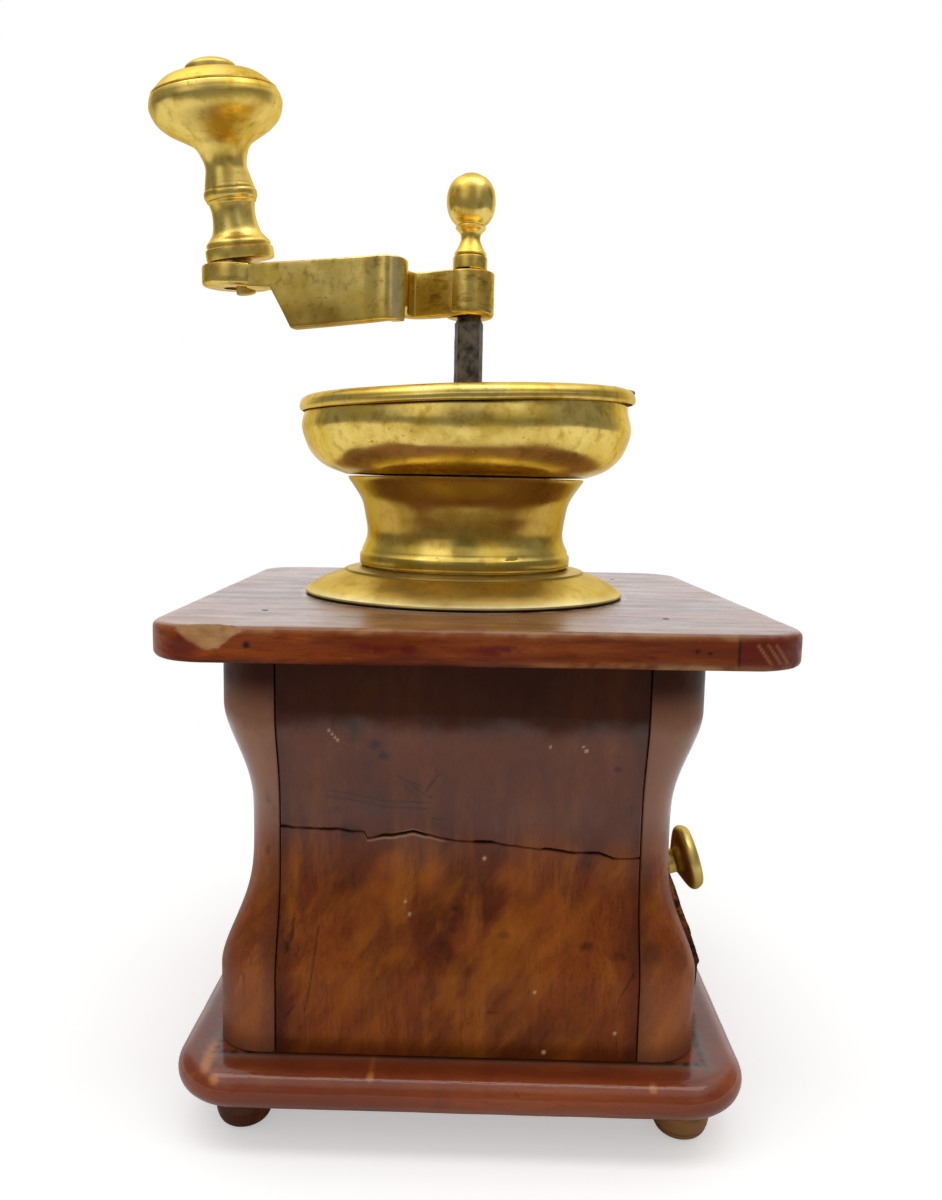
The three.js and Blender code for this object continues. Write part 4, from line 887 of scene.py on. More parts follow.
def make_top_board():
    count = 1100
    path, out = outline(TOP_HALF, TOP_CORNER, count)
    cos, sin = math.cos(TOP_TURN), math.sin(TOP_TURN)
    turn = np.array([[cos, -sin], [sin, cos]])
    path = path @ turn.T + [TOP_X, 0]
    out = out @ turn.T
    angle = np.arctan2(path[:, 1], path[:, 0])
    throat = np.stack([np.cos(angle), np.sin(angle)], -1) * THROAT
    face = path - out * TOP_ARRIS - throat

    def face_rows(shares, z):
        return [level_row(throat + face * share, z) for share in shares]

    def arris_rows(z, rise, bends):
        """Rows of a rounded arris, which goes up (rise 1) or down (rise -1) from the face at z."""
        return [level_row(path - out * TOP_ARRIS * (1 - math.sin(bend)),
                          z + rise * TOP_ARRIS * (1 - math.cos(bend))) for bend in bends]
    rows = face_rows(np.linspace(0, 1, 14)[:-1], BOARD_LOW)
    rows += arris_rows(BOARD_LOW, 1, np.linspace(0, math.pi / 2, 7))
    rows += [level_row(path, z) for z in np.linspace(BOARD_LOW + TOP_ARRIS, BOARD_TOP - TOP_ARRIS, 16)[1:-1]]
    rows += arris_rows(BOARD_TOP, -1, np.linspace(math.pi / 2, 0, 7))
    rows += face_rows(np.linspace(1, 0, 64)[1:], BOARD_TOP)
    points = np.array(rows)

    rim = smooth_step(np.linalg.norm(points[..., :2] - path, axis=-1), 4.0, 1.0)
    bite = np.maximum(lumps(points, 11, seed=21) - 0.15, 0) * 0.9
    arris = most(near(points[..., 2], BOARD_TOP, 1.4), near(points[..., 2], BOARD_LOW, 1.4)) * rim
    rubbed = rim * np.maximum(lumps(points, 5, seed=4), 0) * 0.08
    points[..., :2] -= out * (arris * bite * 0.5 + rubbed)[..., None]
    x, y, z = np.moveaxis(points, -1, 0)
    chip_low = np.interp(x, *np.transpose(CHIP), left=FAR_ABOVE, right=FAR_ABOVE)
    chip_low = chip_low + lumps(points, 2.2, seed=7) * 0.35
    chip_y = path[:, 1].min() + (z - chip_low) * 0.62 - (x - CHIP_X) * 0.02
    chip_y = chip_y + lumps(points, 1.6, seed=12) * 0.22
    cut = np.where((y < -30) & (z > chip_low), np.maximum(chip_y - y, 0), 0)
    points[..., 1] += cut

    edge_wear = smooth_step(lumps(points, 12, seed=31), -0.15, 0.5)
    ragged_rim = smooth_step(lumps(points, 3.6, seed=33, octaves=4), -0.35, 0.25)
    top_arris = near(z, BOARD_TOP - 0.5 + lumps(points, 4, seed=35) * 0.5, 0.7) * (0.25 + 0.75 * ragged_rim)
    # Painted highlight: a pale ragged line along the lower arris on the right half.
    low_arris_highlight = near(z, BOARD_LOW + 0.5, 0.9) * smooth_step(x, 0, 45) * (0.2 + 0.8 * ragged_rim)
    worn = most(top_arris * (0.6 + 0.4 * edge_wear) * rim, low_arris_highlight * 0.9 * rim, smooth_step(cut, 0.02, 0.2))
    front = smooth_step(-y, 60, 66)
    flat = points[..., [0, 2]]
    red = [smooth_step(x, 58.4, 59.6) * 0.8, near_spot(flat, (-57.0, 108.0), (4.2, 2.6)) * 0.8]
    ragged_red = smooth_step(lumps(points, 2.5, seed=14), -0.4, 0.1)
    for left, right in RED_SPANS:
        red.append(near_spot(flat, ((left + right) / 2, 108.4), ((right - left) / 2, 1.3)) * ragged_red)
    maroon = front * most(*red)
    worn = np.clip(worn, 0, 1) * (1 - maroon * 0.6)
    scratches = most(*[near_line(flat, EDGE_SCRATCH + [shift, 0], 0.25) for shift in (0, 2.2, 4.0)])
    worn = most(worn, front * scratches * 0.6)
    dark = front * most(*[near_spot(flat, place, radii) for place, radii in DARK_NICKS])

    radius = np.hypot(x, y)
    top = smooth_step(z, BOARD_TOP - 0.3, BOARD_TOP)
    ragged = lumps(points, 3.2, seed=17)
    dust = near(radius, FLANGE_RADIUS + 0.8 + ragged * 0.5, 0.55) * top * smooth_step(ragged, -0.5, 0.2)
    # Painted shade: a dark ring where the flange's foot meets the board.
    dark = most(dark, near(radius, FLANGE_RADIUS + 0.1, 0.5) * top * 0.7)
    make_piece("top_board", [(points, grid_faces(len(rows), count, True, True))], board_wood("board_wood"),
               {"worn": worn, "maroon": maroon, "dark": dark, "dust": dust})


# Marks on the front panel, as places of x and z, with radii and strengths
CRACK_Z = 59.6
CRACK = [(-42.5, 61.9), (-29.3, 61.7), (-26.0, 61.3), (-22.3, 60.9), (-22.0, 59.5), (-17, 60.4),
         (-11.2, 61.4), (-6.1, 60.5), (-1.1, 59.6), (6.0, 59.4), (10.4, 58.8), (21.7, 57.9), (26.8, 57.3),
         (32.7, 57.3), (36.1, 56.2), (42.5, 56.4)]
SCRATCHES = [
    [(-30.8, 71.3), (-24, 70.3), (-17.6, 68.9), (-7.0, 68.8)],
    [(-31.1, 69.8), (-24, 68.8), (-17.8, 67.4), (-8.0, 67.2)],
    [(-14.5, 75.4), (-11, 72.6), (-6.6, 69.6)],
    [(-13.6, 73.6), (-11.4, 71.2)],
    [(-12.2, 74.2), (-9.4, 72.8)],
    [(-8.2, 71.6), (-6.2, 74.2)],
    [(-7.6, 73.0), (-5.0, 76.1)],
    [(-6.4, 64.7), (-3.3, 64.7)],
    [(-32.8, 39.0), (-33.8, 28.0), (-35.4, 19.8)],
    [(-37.7, 21.2), (-40.1, 18.2)],
    [(40.9, 30.8), (38.2, 25.9)],
    [(7.3, 20.8), (9.9, 20.9)],
]
SMUDGES = [
    ((-24.5, 86.9), (1.0, 3.2), 0.7), ((-20.0, 83.5), (1.6, 1.4), 0.75), ((-17.6, 80.6), (1.5, 1.1), 0.8),
    ((-28.8, 66.3), (1.4, 1.0), 0.5), ((-26.0, 61.0), (2.6, 2.3), 0.7), ((35.8, 78.5), (1.0, 0.7), 0.8),
    ((-0.7, 43.4), (0.8, 0.6), 0.6), ((-1.1, 38.8), (1.0, 0.7), 0.6), ((-3.5, 35.9), (1.1, 0.7), 0.6),
    ((10.9, 38.1), (1.2, 0.8), 0.5), ((30.0, 36.3), (2.4, 1.0), 0.5), ((37.2, 34.2), (2.2, 1.0), 0.55),
    ((39.5, 68.0), (0.8, 1.6), 0.5),
]
PALE_SPOTS = [
    ((-30.1, 86.7), 0.3), ((-29.4, 85.8), 0.3), ((-28.8, 85.0), 0.3), ((-28.2, 84.3), 0.35),
    ((27.7, 84.0), 0.3), ((28.4, 83.0), 0.45), ((20.2, 83.8), 0.3), ((5.8, 55.4), 0.45),
    ((-12.6, 44.8), 0.35), ((-11.5, 42.0), 0.35), ((18.1, 26.0), 0.4), ((20.6, 11.2), 0.5),
    ((37.0, 16.4), 0.4),
]
WARM_SPOTS = [
    ((-16.0, 53.2), (3.4, 3.6)), ((-18.3, 47.2), (3.2, 3.2)), ((-21.6, 41.8), (3.2, 4.0)),
    ((3.0, 37.5), (4.0, 4.0)), ((21.8, 43.5), (4.4, 4.4)), ((0.9, 36.8), (3.0, 2.6)), ((-6, 50), (3.0, 4.0)),
    ((14, 50), (5.0, 3.0)),
]


def wall_rows(z0, z1, fine_at=None):
    """Heights of a wall's rows, closer together round fine_at."""
    rows = [z0]
    while rows[-1] < z1 - 0.3:
        close = fine_at is not None and abs(rows[-1] - fine_at) < 1.7
        rows.append(rows[-1] + (0.14 if close else 0.42))
    rows[-1] = z1
    return np.array(rows)


def wall_loop(x, z, depth):
    """Sections of a closed slab from a grid of x and z, with its outer face at -depth."""
    outer = np.stack([x, -depth, z], -1)
    ease = 0.35
    edge_x = np.minimum(x - x.min(), x.max() - x)
    outer[..., 1] += ease * np.clip(1 - edge_x / ease, 0, 1) ** 2
    inner = outer[:, ::-1].copy()
    inner[..., 1] = -INNER_HALF
    return np.concatenate([outer, inner[:, ::12]], 1)


def side_place(quarter):
    """From the front of the carcass to another side, by quarter turns."""
    return Matrix.Translation((BOX_X, 0, 0)) @ Matrix.Rotation(quarter * math.pi / 2, 4, "Z")


def make_front_panel():
    half = INNER_HALF - FIT / 2
    x, s = np.meshgrid(np.linspace(-half, half, 270), wall_rows(CARCASS_LOW, CARCASS_TOP, fine_at=CRACK_Z))
    places = np.stack([x, s * 0, s * 0], -1)
    crack_z = np.interp(x, *np.transpose(CRACK)) + lumps(places, 2.6, seed=41, octaves=4) * 0.34
    z = s + near(s, CRACK_Z, 7.0) * (crack_z - CRACK_Z)
    flat = np.stack([x, z], -1)

    def fine_lumps(size, seed, wide=1.0, tall=1.0, **settings):
        return lumps(np.stack([x * wide, x * 0, z * tall], -1), size, seed=seed, **settings)
    below = z - crack_z
    strength = 0.35 + 0.65 * smooth_step(lumps(places, 5.5, seed=43), -0.35, 0.25)
    strength *= np.where((x > 3) & (x < 13), 1.25, 1.0)
    groove = near(below, 0, 0.09 + 0.13 * strength) * np.clip(strength, 0.45, 1.2)
    step = smooth_step(below, -0.5, 0.0) * np.exp(-np.maximum(below, 0) / 3.5) * near(x, -13, 9)
    depth = carcass_half(z) - groove * 0.9 - step * 0.25

    dark = [np.clip(groove * 1.25, 0, 1)]
    dark += [near_line(flat, route, 0.22) * 0.62 for route in SCRATCHES]
    mottled = 0.55 + 0.45 * smooth_step(fine_lumps(1.3, 47), -0.4, 0.4)
    dark += [near_spot(flat, centre, radii) * share * mottled for centre, radii, share in SMUDGES]
    flecks = smooth_step(fine_lumps(1.5, 52, 2.2, 0.8), 0.62, 0.8)
    dark.append(flecks * 0.35 * smooth_step(z, 62, 50))
    crackle = smooth_step(fine_lumps(1.6, 57, 1.4, 0.6, octaves=4), 0.05, 0.5)
    dark.append(near_spot(flat, (-41.0, 36.5), (4.8, 8.5)) * crackle * 0.7)
    lip = near(below, -0.62, 0.24) * smooth_step(x, -22.4, -21.6) * smooth_step(x, -2.0, -5.0)
    lip = most(lip, near(below, 0.42, 0.18) * near(x, -11, 3.0) * 0.8)
    pale = [np.clip(lip * (0.5 + 0.5 * strength), 0, 1) * 0.5]
    pale += [near_spot(flat, centre, (radius, radius)) for centre, radius in PALE_SPOTS]
    worn = [near_spot(flat, centre, radii, turn=-0.5) * 0.55 for centre, radii in WARM_SPOTS]

    loop = wall_loop(x + BOX_X, z, depth)
    pad = np.zeros((len(x), loop.shape[1] - x.shape[1]))
    layers = {key: np.concatenate([most(*values), pad], 1)
              for key, values in (("dark", dark), ("pale", pale), ("worn", worn))}
    make_piece("front_panel", [capped(loop)], front_look, layers)


def make_wall(node, quarter, seed):
    """A plain outer wall, turned by quarters from the front."""
    half = INNER_HALF - FIT / 2
    x, z = np.meshgrid(np.linspace(-half, half, 120), wall_rows(foot_of(node), top_of(node)))
    loop = wall_loop(x, z, carcass_half(z))
    scattered = lumps(loop * [1.6, 0, 1], 4.0, seed=seed)
    dark = smooth_step(scattered, 0.55, 0.75) * 0.5
    pale = smooth_step(-scattered, 0.68, 0.78) * 0.5
    make_piece(node, [capped(moved(loop, side_place(quarter)))], carcass_look, {"dark": dark, "pale": pale})


def make_post(node, quarter, seed):
    """A corner post, turned by quarters from the front right one."""
    inner = INNER_HALF + FIT / 2
    columns = 44
    sections = []
    for z in wall_rows(CARCASS_LOW, CARCASS_TOP):
        half = float(carcass_half(z))
        straight = half - POST_CORNER
        start = math.asin((inner - straight) / POST_CORNER) if straight < inner else 0.0
        section = [(straight + math.sin(bend) * POST_CORNER, -straight - math.cos(bend) * POST_CORNER)
                   for bend in np.linspace(start, math.pi / 2 - start, 30)]
        if straight >= inner:
            face = [(x, -half) for x in np.linspace(inner, straight, 7)]
            side = [(-y, -x) for x, y in face[::-1]]
            section = face[:-1] + section + side[1:]
        section = resample(section, columns) + [(inner, -inner)]
        sections.append([(x, y, z) for x, y in section])
    points = np.array(sections)
    points[:, 0, 1] += FIT
    points[:, columns - 1, 0] -= FIT
    scattered = lumps(points * [1.5, 1.5, 0.8], 5.0, seed=seed)
    dark = smooth_step(scattered, 0.5, 0.75) * 0.45
    pale = smooth_step(-scattered, 0.62, 0.75) * 0.35
    make_piece(node, [capped(moved(points, side_place(quarter)))], carcass_look, {"dark": dark, "pale": pale})


def make_foot(node, seed):
    low, high = box(node)
    x, y = (low[0] + high[0]) / 2, (low[1] + high[1]) / 2
    height = -low[2]
    radius = (high[0] - low[0]) / 2
    profile = spline([(3.3, -height), (radius * 0.86, -height * 0.85), (radius, -height * 0.5),
                      (radius * 0.9, -FIT)], 28)
    points, faces = lathe([(0, -height)] + profile + [(0, -FIT)], 72, Matrix.Translation((x, y, 0)))
    dents = np.maximum(lumps(points, 4, seed=seed), 0) * 0.15
    points[..., :2] -= (points[..., :2] - [x, y]) / radius * dents[..., None]
    make_piece(node, [(points, faces)], foot_look)


def make_drawer_front():
    low, high = box("drawer_front")
    back = low[0] - BOX_X
    bottom = WAIST_HALF + BOTTOM_FLARE
    bulge = bottom + 2
    z0, z1 = low[2], high[2]
    face = spline([(bottom - 0.4, z0 + 0.4), (bottom + 1.0, z0 + 6), (bulge - 0.2, z0 + 12),
                   (bulge, z0 + 15.75), (bulge - 0.3, z0 + 19.5), (WAIST_HALF + 0.8, z1 - 0.8)], 60)
    section = np.array(finer([(back, z0), (bottom - 0.8, z0)] + face + [(WAIST_HALF, z1), (back, z1)], 0.9))
    y0, y1, end = low[1], high[1], 4
    rows = np.concatenate([np.linspace(y0, y0 + end, 14), np.linspace(y0 + end, y1 - end, 60)[1:-1],
                           np.linspace(y1 - end, y1, 14)])
    x, y = np.meshgrid(section[:, 0] + BOX_X, rows)
    points = np.stack([x, y, np.broadcast_to(section[:, 1], x.shape)], -1)
    torn = lumps(points, 4.5, seed=61, octaves=4) * (0.12 + 0.4 * smooth_step(np.abs(y), 37, 41.4))
    points[..., 0] -= smooth_step(x, 50, 53) * torn
    make_piece("drawer_front", [capped(points)], drawer_wood("drawer_wood"))


# Brass and iron pieces

# Dents in the bowl's side, as x, z, radius and depth
BOWL_DENTS = [(-15.4, 154.2, 2.2, 0.12), (-12.4, 153.6, 1.5, 0.10), (-9.8, 153.2, 1.8, 0.12),
              (-26.0, 147.6, 3.0, 0.2)]


def dented(points, above, depth, seed):
    """Points of a spun wall pushed in and out a little, by hand work and knocks."""
    radius = np.linalg.norm(points[..., :2], axis=-1, keepdims=True)
    outer = smooth_step(points[..., 2], above, above + 2) * smooth_step(radius[..., 0], 26.9, 28.0)
    push = lumps(points, 15, seed=seed, octaves=2) * depth * outer
    result = points.copy()
    result[..., :2] += points[..., :2] / np.maximum(radius, 1e-6) * push[..., None]
    return result


def make_flange():
    radius, step_radius, height = FLANGE_RADIUS, FLANGE_STEP, 7.2
    middle = radius * 0.62 + step_radius * 0.38
    bore = NECK_WAIST + 0.3 + FIT
    profile = [(radius - 0.3, 0), (radius, 0.35), (radius - 0.05, 0.8)]
    profile += spline([(radius - 0.7, 1.3), (middle, height * 0.48), (step_radius + 1, height * 0.8)], 22)
    profile += [(step_radius + 0.3, height * 0.81), (step_radius + 0.05, height * 0.83),
                (step_radius - 0.1, height * 0.89), (step_radius - 0.6, height * 0.915),
                (bore + 0.6, height - 0.03), (bore, height - 0.3), (bore, height - BRASS_SHEET),
                (step_radius - 0.8, height * 0.85 - BRASS_SHEET), (middle - 0.5, height * 0.48 - BRASS_SHEET),
                (radius - 2.4, 0)]
    make_piece("hopper_flange", [lathe(raised(profile, FLANGE_FOOT), 192)], dusty_flange("flange_brass"))


def make_neck():
    low, waist_z, top = NECK_FOOT, NECK_FOOT + 9.6, NECK_TOP
    foot, band, waist, lip = 29.1, 3.5, NECK_WAIST, NECK_LIP
    profile = raised([(foot - 0.5, 0), (foot - 0.1, 0.4), (foot, 0.9), (foot, band - 0.8),
                      (foot - 0.15, band - 0.3), (foot - 0.5, band)], low)
    profile += spline([(foot - 0.7, low + band + 0.9), (waist + 0.25, waist_z - 2.6), (waist, waist_z),
                       (waist + 0.55, waist_z + 3.6), (waist + 1.75, (waist_z + top) / 2 + 1.2),
                       (lip - 0.3, top - 0.9)], 56)
    profile += [(lip, top - 0.3), (lip - 0.1, top), (lip - 3, top), (waist + 0.9 - BRASS_SHEET, waist_z + 5),
                (waist - BRASS_SHEET, waist_z), (waist + 0.3 - BRASS_SHEET, FLANGE_FOOT),
                (waist + 0.3, FLANGE_FOOT), (waist + 0.3, low)]
    points, faces = lathe(profile, 168)
    make_piece("hopper_neck", [(dented(points, low + band, 0.12, seed=71), faces)], hopper_look)


def make_bowl():
    low, top, widest = BOWL_LOW, BOWL_TOP, BOWL_LOW + 13.2
    radius, rim, lip, sheet = BOWL_RADIUS, BOWL_RIM, NECK_LIP, BRASS_SHEET
    hole = 26.5
    profile = spline([(lip + 0.6, low + 0.2), (lip + 6, low + 2.3), (radius - 2.6, low + 5.7),
                      (radius - 0.7, low + 9.8), (radius, widest), (radius - 0.9, top - 2.2)], 56)
    profile += [(rim, top - 1.4), (rim, top - 0.4), (rim - 0.5, top), (rim - 1.6, top),
                (radius - sheet, widest), (radius - 0.9 - sheet, low + 9.8),
                (radius - 3.2 - sheet, low + 6.2), (lip + 4.6, low + 3.2), (lip - 0.6, low + sheet),
                (hole, low + sheet), (hole, low)]
    points, faces = lathe(finer(profile, 1.2), 216)
    points = dented(points, low + 1.5, 0.16, seed=77)
    for x, z, size, depth in BOWL_DENTS:
        dent = near_spot(points[..., [0, 2]], (x, z), (size, size)) * (points[..., 1] < 0) * depth
        points[..., :2] *= 1 - dent[..., None] / np.linalg.norm(points[..., :2], axis=-1, keepdims=True)
    make_piece("hopper_bowl", [(points, faces)], hopper_look)


def make_lid():
    radius, sheet = LID_RADIUS, LID_SHEET
    skirt = sheet - 4.1
    profile = [(0, 0), (radius - 1.9, 0), (radius - sheet - 0.3, -0.5), (radius - sheet, -1.4),
               (radius - sheet, skirt)]
    profile += spline([(radius - 0.5, skirt + 0.05), (radius - 0.12, skirt + 0.45), (radius, skirt + 1.3),
                       (radius - 0.1, -1.6), (radius - 0.35, -0.8), (radius - 1.1, sheet * 0.1),
                       (radius - 2.6, sheet * 0.85), (radius - 4.5, sheet)], 26)
    profile += [(0, sheet)]
    points, faces = lathe(finer(profile, 1.5), 208)
    points[..., 2] += lumps(points, 22, seed=81, octaves=2) * 0.16
    cover = make_piece("lid_cover", [(moved(points, LID_PLACE), faces)], cover_look)
    band, inner = 4, 10
    low, low_inner = math.asin(band / WINDOW_RADIUS), math.asin(band / inner)
    window = ring_arc(WINDOW_RADIUS, low, math.pi - low, 90)
    window += ring_arc(inner, math.pi - low_inner, low_inner, 24)

    def tilted(route, z0, z1):
        points, faces = prism(route, z0, z1)
        return moved(points, LID_PLACE), faces
    hole = tilted(ring_arc(LID_HOLE, 0, 2 * math.pi, 49)[:-1], -3, 4)
    cut_out(cover, [tilted(window, -2, 3), hole])

    bottom = sheet + FIT
    outer, hub = WINDOW_RADIUS + 4, 8.0
    route = ring_arc(outer, 0, math.pi, 120) + ring_arc(hub, math.pi, 2 * math.pi, 40)
    shutter = make_piece("lid_shutter", [tilted(route, bottom, bottom + sheet)], cover_look)
    cut_out(shutter, [hole], bevel=0.18)

    rod = [(0, 0), (0.7, 0), (0.8, 0.15), (0.8, 5.8), (0.72, 6.15), (0.5, 6.35), (0, 6.4)]
    aim, rise = math.radians(9), math.radians(14)
    place = (LID_PLACE @ Matrix.Rotation(aim, 4, "Z") @ Matrix.Translation((outer + FIT, 0, bottom + sheet))
             @ Matrix.Rotation(math.pi / 2 + rise, 4, "Y"))
    make_piece("lid_handle", [lathe(rod, 32, place)], dark_iron)


def make_shaft():
    """The shaft: round in its bearings, eight-sided and hammered above, with a stud for the arm."""
    low, high = box("drive_shaft")
    shoulder = BOSS_LOW - FIT
    stud = ARM_TOP + FIT
    octagon_from = top_of("bearing_bridge") + 1.5
    columns = 96
    angle = np.arange(columns) / columns * 2 * math.pi
    flats = np.minimum(math.cos(math.pi / 8) / np.cos((angle % (math.pi / 4)) - math.pi / 8), 0.985)

    def ring(radius, z, facets=1.0):
        radii = radius * facets * np.ones(columns)
        return np.stack([radii * np.cos(angle), radii * np.sin(angle), np.full(columns, z)], -1)
    tip, square, thread = 1e-6, 3.0, 2.2
    rows = [ring(tip, low[2]), ring(SHAFT_RADIUS * 0.5, low[2])]
    rows += [ring(SHAFT_RADIUS, z) for z in np.linspace(low[2] + 2, octagon_from, 30)]
    rows += [ring(SHAFT_RADIUS, z, flats) for z in np.linspace(octagon_from + 1, shoulder - 1.2, 60)]
    rows += [ring(radius, z, flats)
             for radius, z in ((SHAFT_RADIUS - 0.7, shoulder), (square, shoulder + 0.01), (square, stud),
                               (thread, stud + 0.01), (thread, high[2]), (tip, high[2]))]
    points = np.array(rows)
    seen = smooth_step(points[..., 2], octagon_from, octagon_from + 3) * (points[..., 2] < shoulder - 0.5)
    hammer = lumps(points, 3.4, seed=91) * 0.09 * seen
    points[..., :2] *= (1 + hammer / SHAFT_RADIUS)[..., None]
    make_piece("drive_shaft", [tube(points)], dark_iron, sharp=28)


STRAP_PATH = [(0, -BOSS_RADIUS + STRAP * 0.55), (-5.5, -2.5), (-11, 0.4), (-15.2, 1.3), (-17.8, -1.5),
              (-18, -8), (-17.6, -15), (-20, -18.2), (-26, -16.3), (-38, -12.3),
              (EYE[0] + EYE_RADIUS * 0.55, EYE[1] - EYE_RADIUS * 0.62)]
JOG = -15.5
EYE_LOW = ARM_TOP - EYE_HEIGHT
PLATE_LOW = BOSS_LOW - PLATE_DROP
STRAP_LOW = [(EYE[0], EYE_LOW), (EYE[0] + EYE_RADIUS * 1.28, EYE_LOW - 0.8),
             (EYE[0] + EYE_RADIUS * 1.9, PLATE_LOW - 0.8), (JOG, PLATE_LOW + 0.8)]


def strap_bottom(x, y):
    """Height of the strap's lower edge."""
    if x > -21 and y > JOG:
        return BOSS_LOW
    return float(np.interp(x, *np.transpose(STRAP_LOW)))


def make_crank_arm():
    path, direction = centripetal(STRAP_PATH, 260)
    normal = np.stack([-direction[:, 1], direction[:, 0]], -1)
    half, rounding = STRAP / 2, 0.45

    def corner(side, z, start):
        """A rounded corner of the strap's section: a quarter turn from start."""
        return [(side * (half - rounding) + math.cos(bend) * rounding, z + math.sin(bend) * rounding)
                for bend in np.linspace(start, start + math.pi / 2, 5)]
    sections = []
    for (x, y), (nx, ny) in zip(path, normal):
        low = strap_bottom(x, y)
        rise = np.linspace(low + 1.2, ARM_TOP - 1.2, 10)
        section = corner(-1, low + rounding, math.pi) + corner(1, low + rounding, 1.5 * math.pi)
        section += [(half, z) for z in rise]
        section += corner(1, ARM_TOP - rounding, 0) + corner(-1, ARM_TOP - rounding, 0.5 * math.pi)
        section += [(-half, z) for z in rise[::-1]]
        sections.append([(x + nx * t, y + ny * t, z) for t, z in section])
    points = np.array(sections)
    points[..., :2] += (lumps(points, 9, seed=95, octaves=2) * 0.12)[..., None]

    def disc(radius, low, bore, x, y):
        profile = [(bore, low), (radius - 1.2, low), (radius - 0.6, low + 0.16), (radius - 0.2, low + 0.55),
                   (radius, low + 1.2), (radius, ARM_TOP - 0.5), (radius - 0.15, ARM_TOP - 0.15),
                   (radius - 0.5, ARM_TOP), (bore, ARM_TOP)]
        return lathe(finer(profile, 1.5), 112, Matrix.Translation((x, y, 0)))
    eye = disc(EYE_RADIUS, EYE_LOW, 3.4, *EYE)
    under = smooth_step(eye[0][..., 2], ARM_TOP - 2.5, EYE_LOW)
    eye[0][..., 2] += under * (eye[0][..., 1] - EYE[1] + EYE_RADIUS) * EYE_TWIST
    boss = disc(BOSS_RADIUS, BOSS_LOW, 3.3, 0, 0)
    make_piece("crank_arm", [capped(points), eye, boss], plate_brass("arm_brass"))


def make_finial():
    low, high = box("finial_nut")
    height = high[2] - low[2]
    bore, bore_top = 2.5, 9.0
    profile = [(0, bore_top), (bore, bore_top), (bore, 0), (4.35, 0), (4.6, 0.25), (4.65, 0.9), (4.65, 3.1),
               (4.5, 3.5), (4.1, 3.65), (3.95, 3.8), (4.2, 3.95), (4.35, 4.25), (4.25, 4.6)]
    profile += spline([(4.0, 4.9), (3.4, 6.0), (2.8, 7.4), (2.6, 8.4), (2.85, 9.6), (3.35, 10.3)], 26)
    profile += [(3.7, 10.6), (3.95, 10.8), (4.1, 11.15), (4.0, 11.5), (3.75, 11.65), (3.8, 11.85),
                (3.95, 12.0)]
    profile += spline([(4.4, 12.3), (5.2, 13.2), (6.05, 14.8), (6.45, 16.4), (6.57, 17.9), (6.45, 19.5),
                       (6.1, 21), (5.4, 22.4), (4.3, 23.6), (2.3, height - 0.3)], 44)
    profile += [(1.0, height - 0.03), (0, height)]
    look = Brass("turned_brass", tone=17.0, rough=0.22).finish_brass()
    make_piece("finial_nut", [lathe(raised(profile, low[2]), 96)], look)


def make_crank_knob():
    foot, bore = 9.0, SPINDLE_RADIUS + RUNNING
    lift = (FIT + foot * math.sin(KNOB_LEAN)) / math.cos(KNOB_LEAN)
    profile = [(bore, lift), (foot - 0.5, lift), (foot - 0.12, lift + 0.2), (foot, lift + 0.7), (foot, 4.6),
               (foot - 0.1, 5.1), (8.6, 5.35), (8.3, 5.45), (8.3, 5.65), (8.5, 5.85), (8.52, 6.3), (8.3, 6.7)]
    profile += spline([(7.95, 7.1), (7.25, 7.9), (6.3, 9.5), (5.75, 12.1), (5.65, 14.5), (5.95, 16.3)], 40)
    profile += [(6.05, 16.55), (6.3, 16.7), (6.5, 17.0), (6.4, 17.25), (6.7, 17.5), (6.95, 18.2),
                (6.98, 18.8), (6.9, 19.4), (6.65, 19.75), (6.5, 19.9), (6.55, 20.2), (6.4, 20.5)]
    profile += spline([(6.3, 21.2), (5.8, 23.3), (5.42, 25.4), (5.8, 27.7), (7.2, 30.6), (9.7, 32.3),
                       (13.4, 34.4), (15.9, 36.8), (17.0, 39.6), (16.85, 41.4), (16.5, 42.45)], 110)
    profile += [(16.3, 42.75), (16.0, 42.8), (15.95, 43.0), (16.15, 43.15), (16.1, 43.4), (15.85, 43.6)]
    profile += spline([(15.6, 43.85), (14.8, 44.6), (13.6, 45.7), (12.3, 46.6), (11.0, 47.0),
                       (9.0, 47.15)], 30)
    profile += [(7.0, KNOB_TOP), (bore, KNOB_TOP)]
    look = Brass("knob_brass", tone=33.0, rough=0.26).finish_brass()
    make_piece("crank_knob", [lathe(profile, 144, KNOB_PLACE)], look)


def make_spindle():
    """The knob's spindle, riveted under the eye and capped above the knob."""
    rivet = -EYE_HEIGHT / math.cos(KNOB_LEAN) - 0.4
    cap = KNOB_TOP + FIT
    radius = SPINDLE_CAP_RADIUS
    profile = [(0, rivet - 0.5), (1.5, rivet - 0.42), (2.2, rivet - 0.25), (SPINDLE_RADIUS, rivet),
               (SPINDLE_RADIUS, cap), (radius - 0.2, cap), (radius, cap + 0.2), (radius, cap + 1.5)]
    dome = spline([(radius - 0.12, 2.0), (5.9, 2.45), (4.6, 3.1), (2.6, 3.7), (1.0, 3.88)], 18)
    profile += raised(dome + [(0, 3.9)], cap)
    look = Brass("spindle_brown", tone=5.0, dull=0.35, rough=0.3).finish_brass()
    make_piece("knob_spindle", [lathe(profile, 72, KNOB_PLACE)], look)


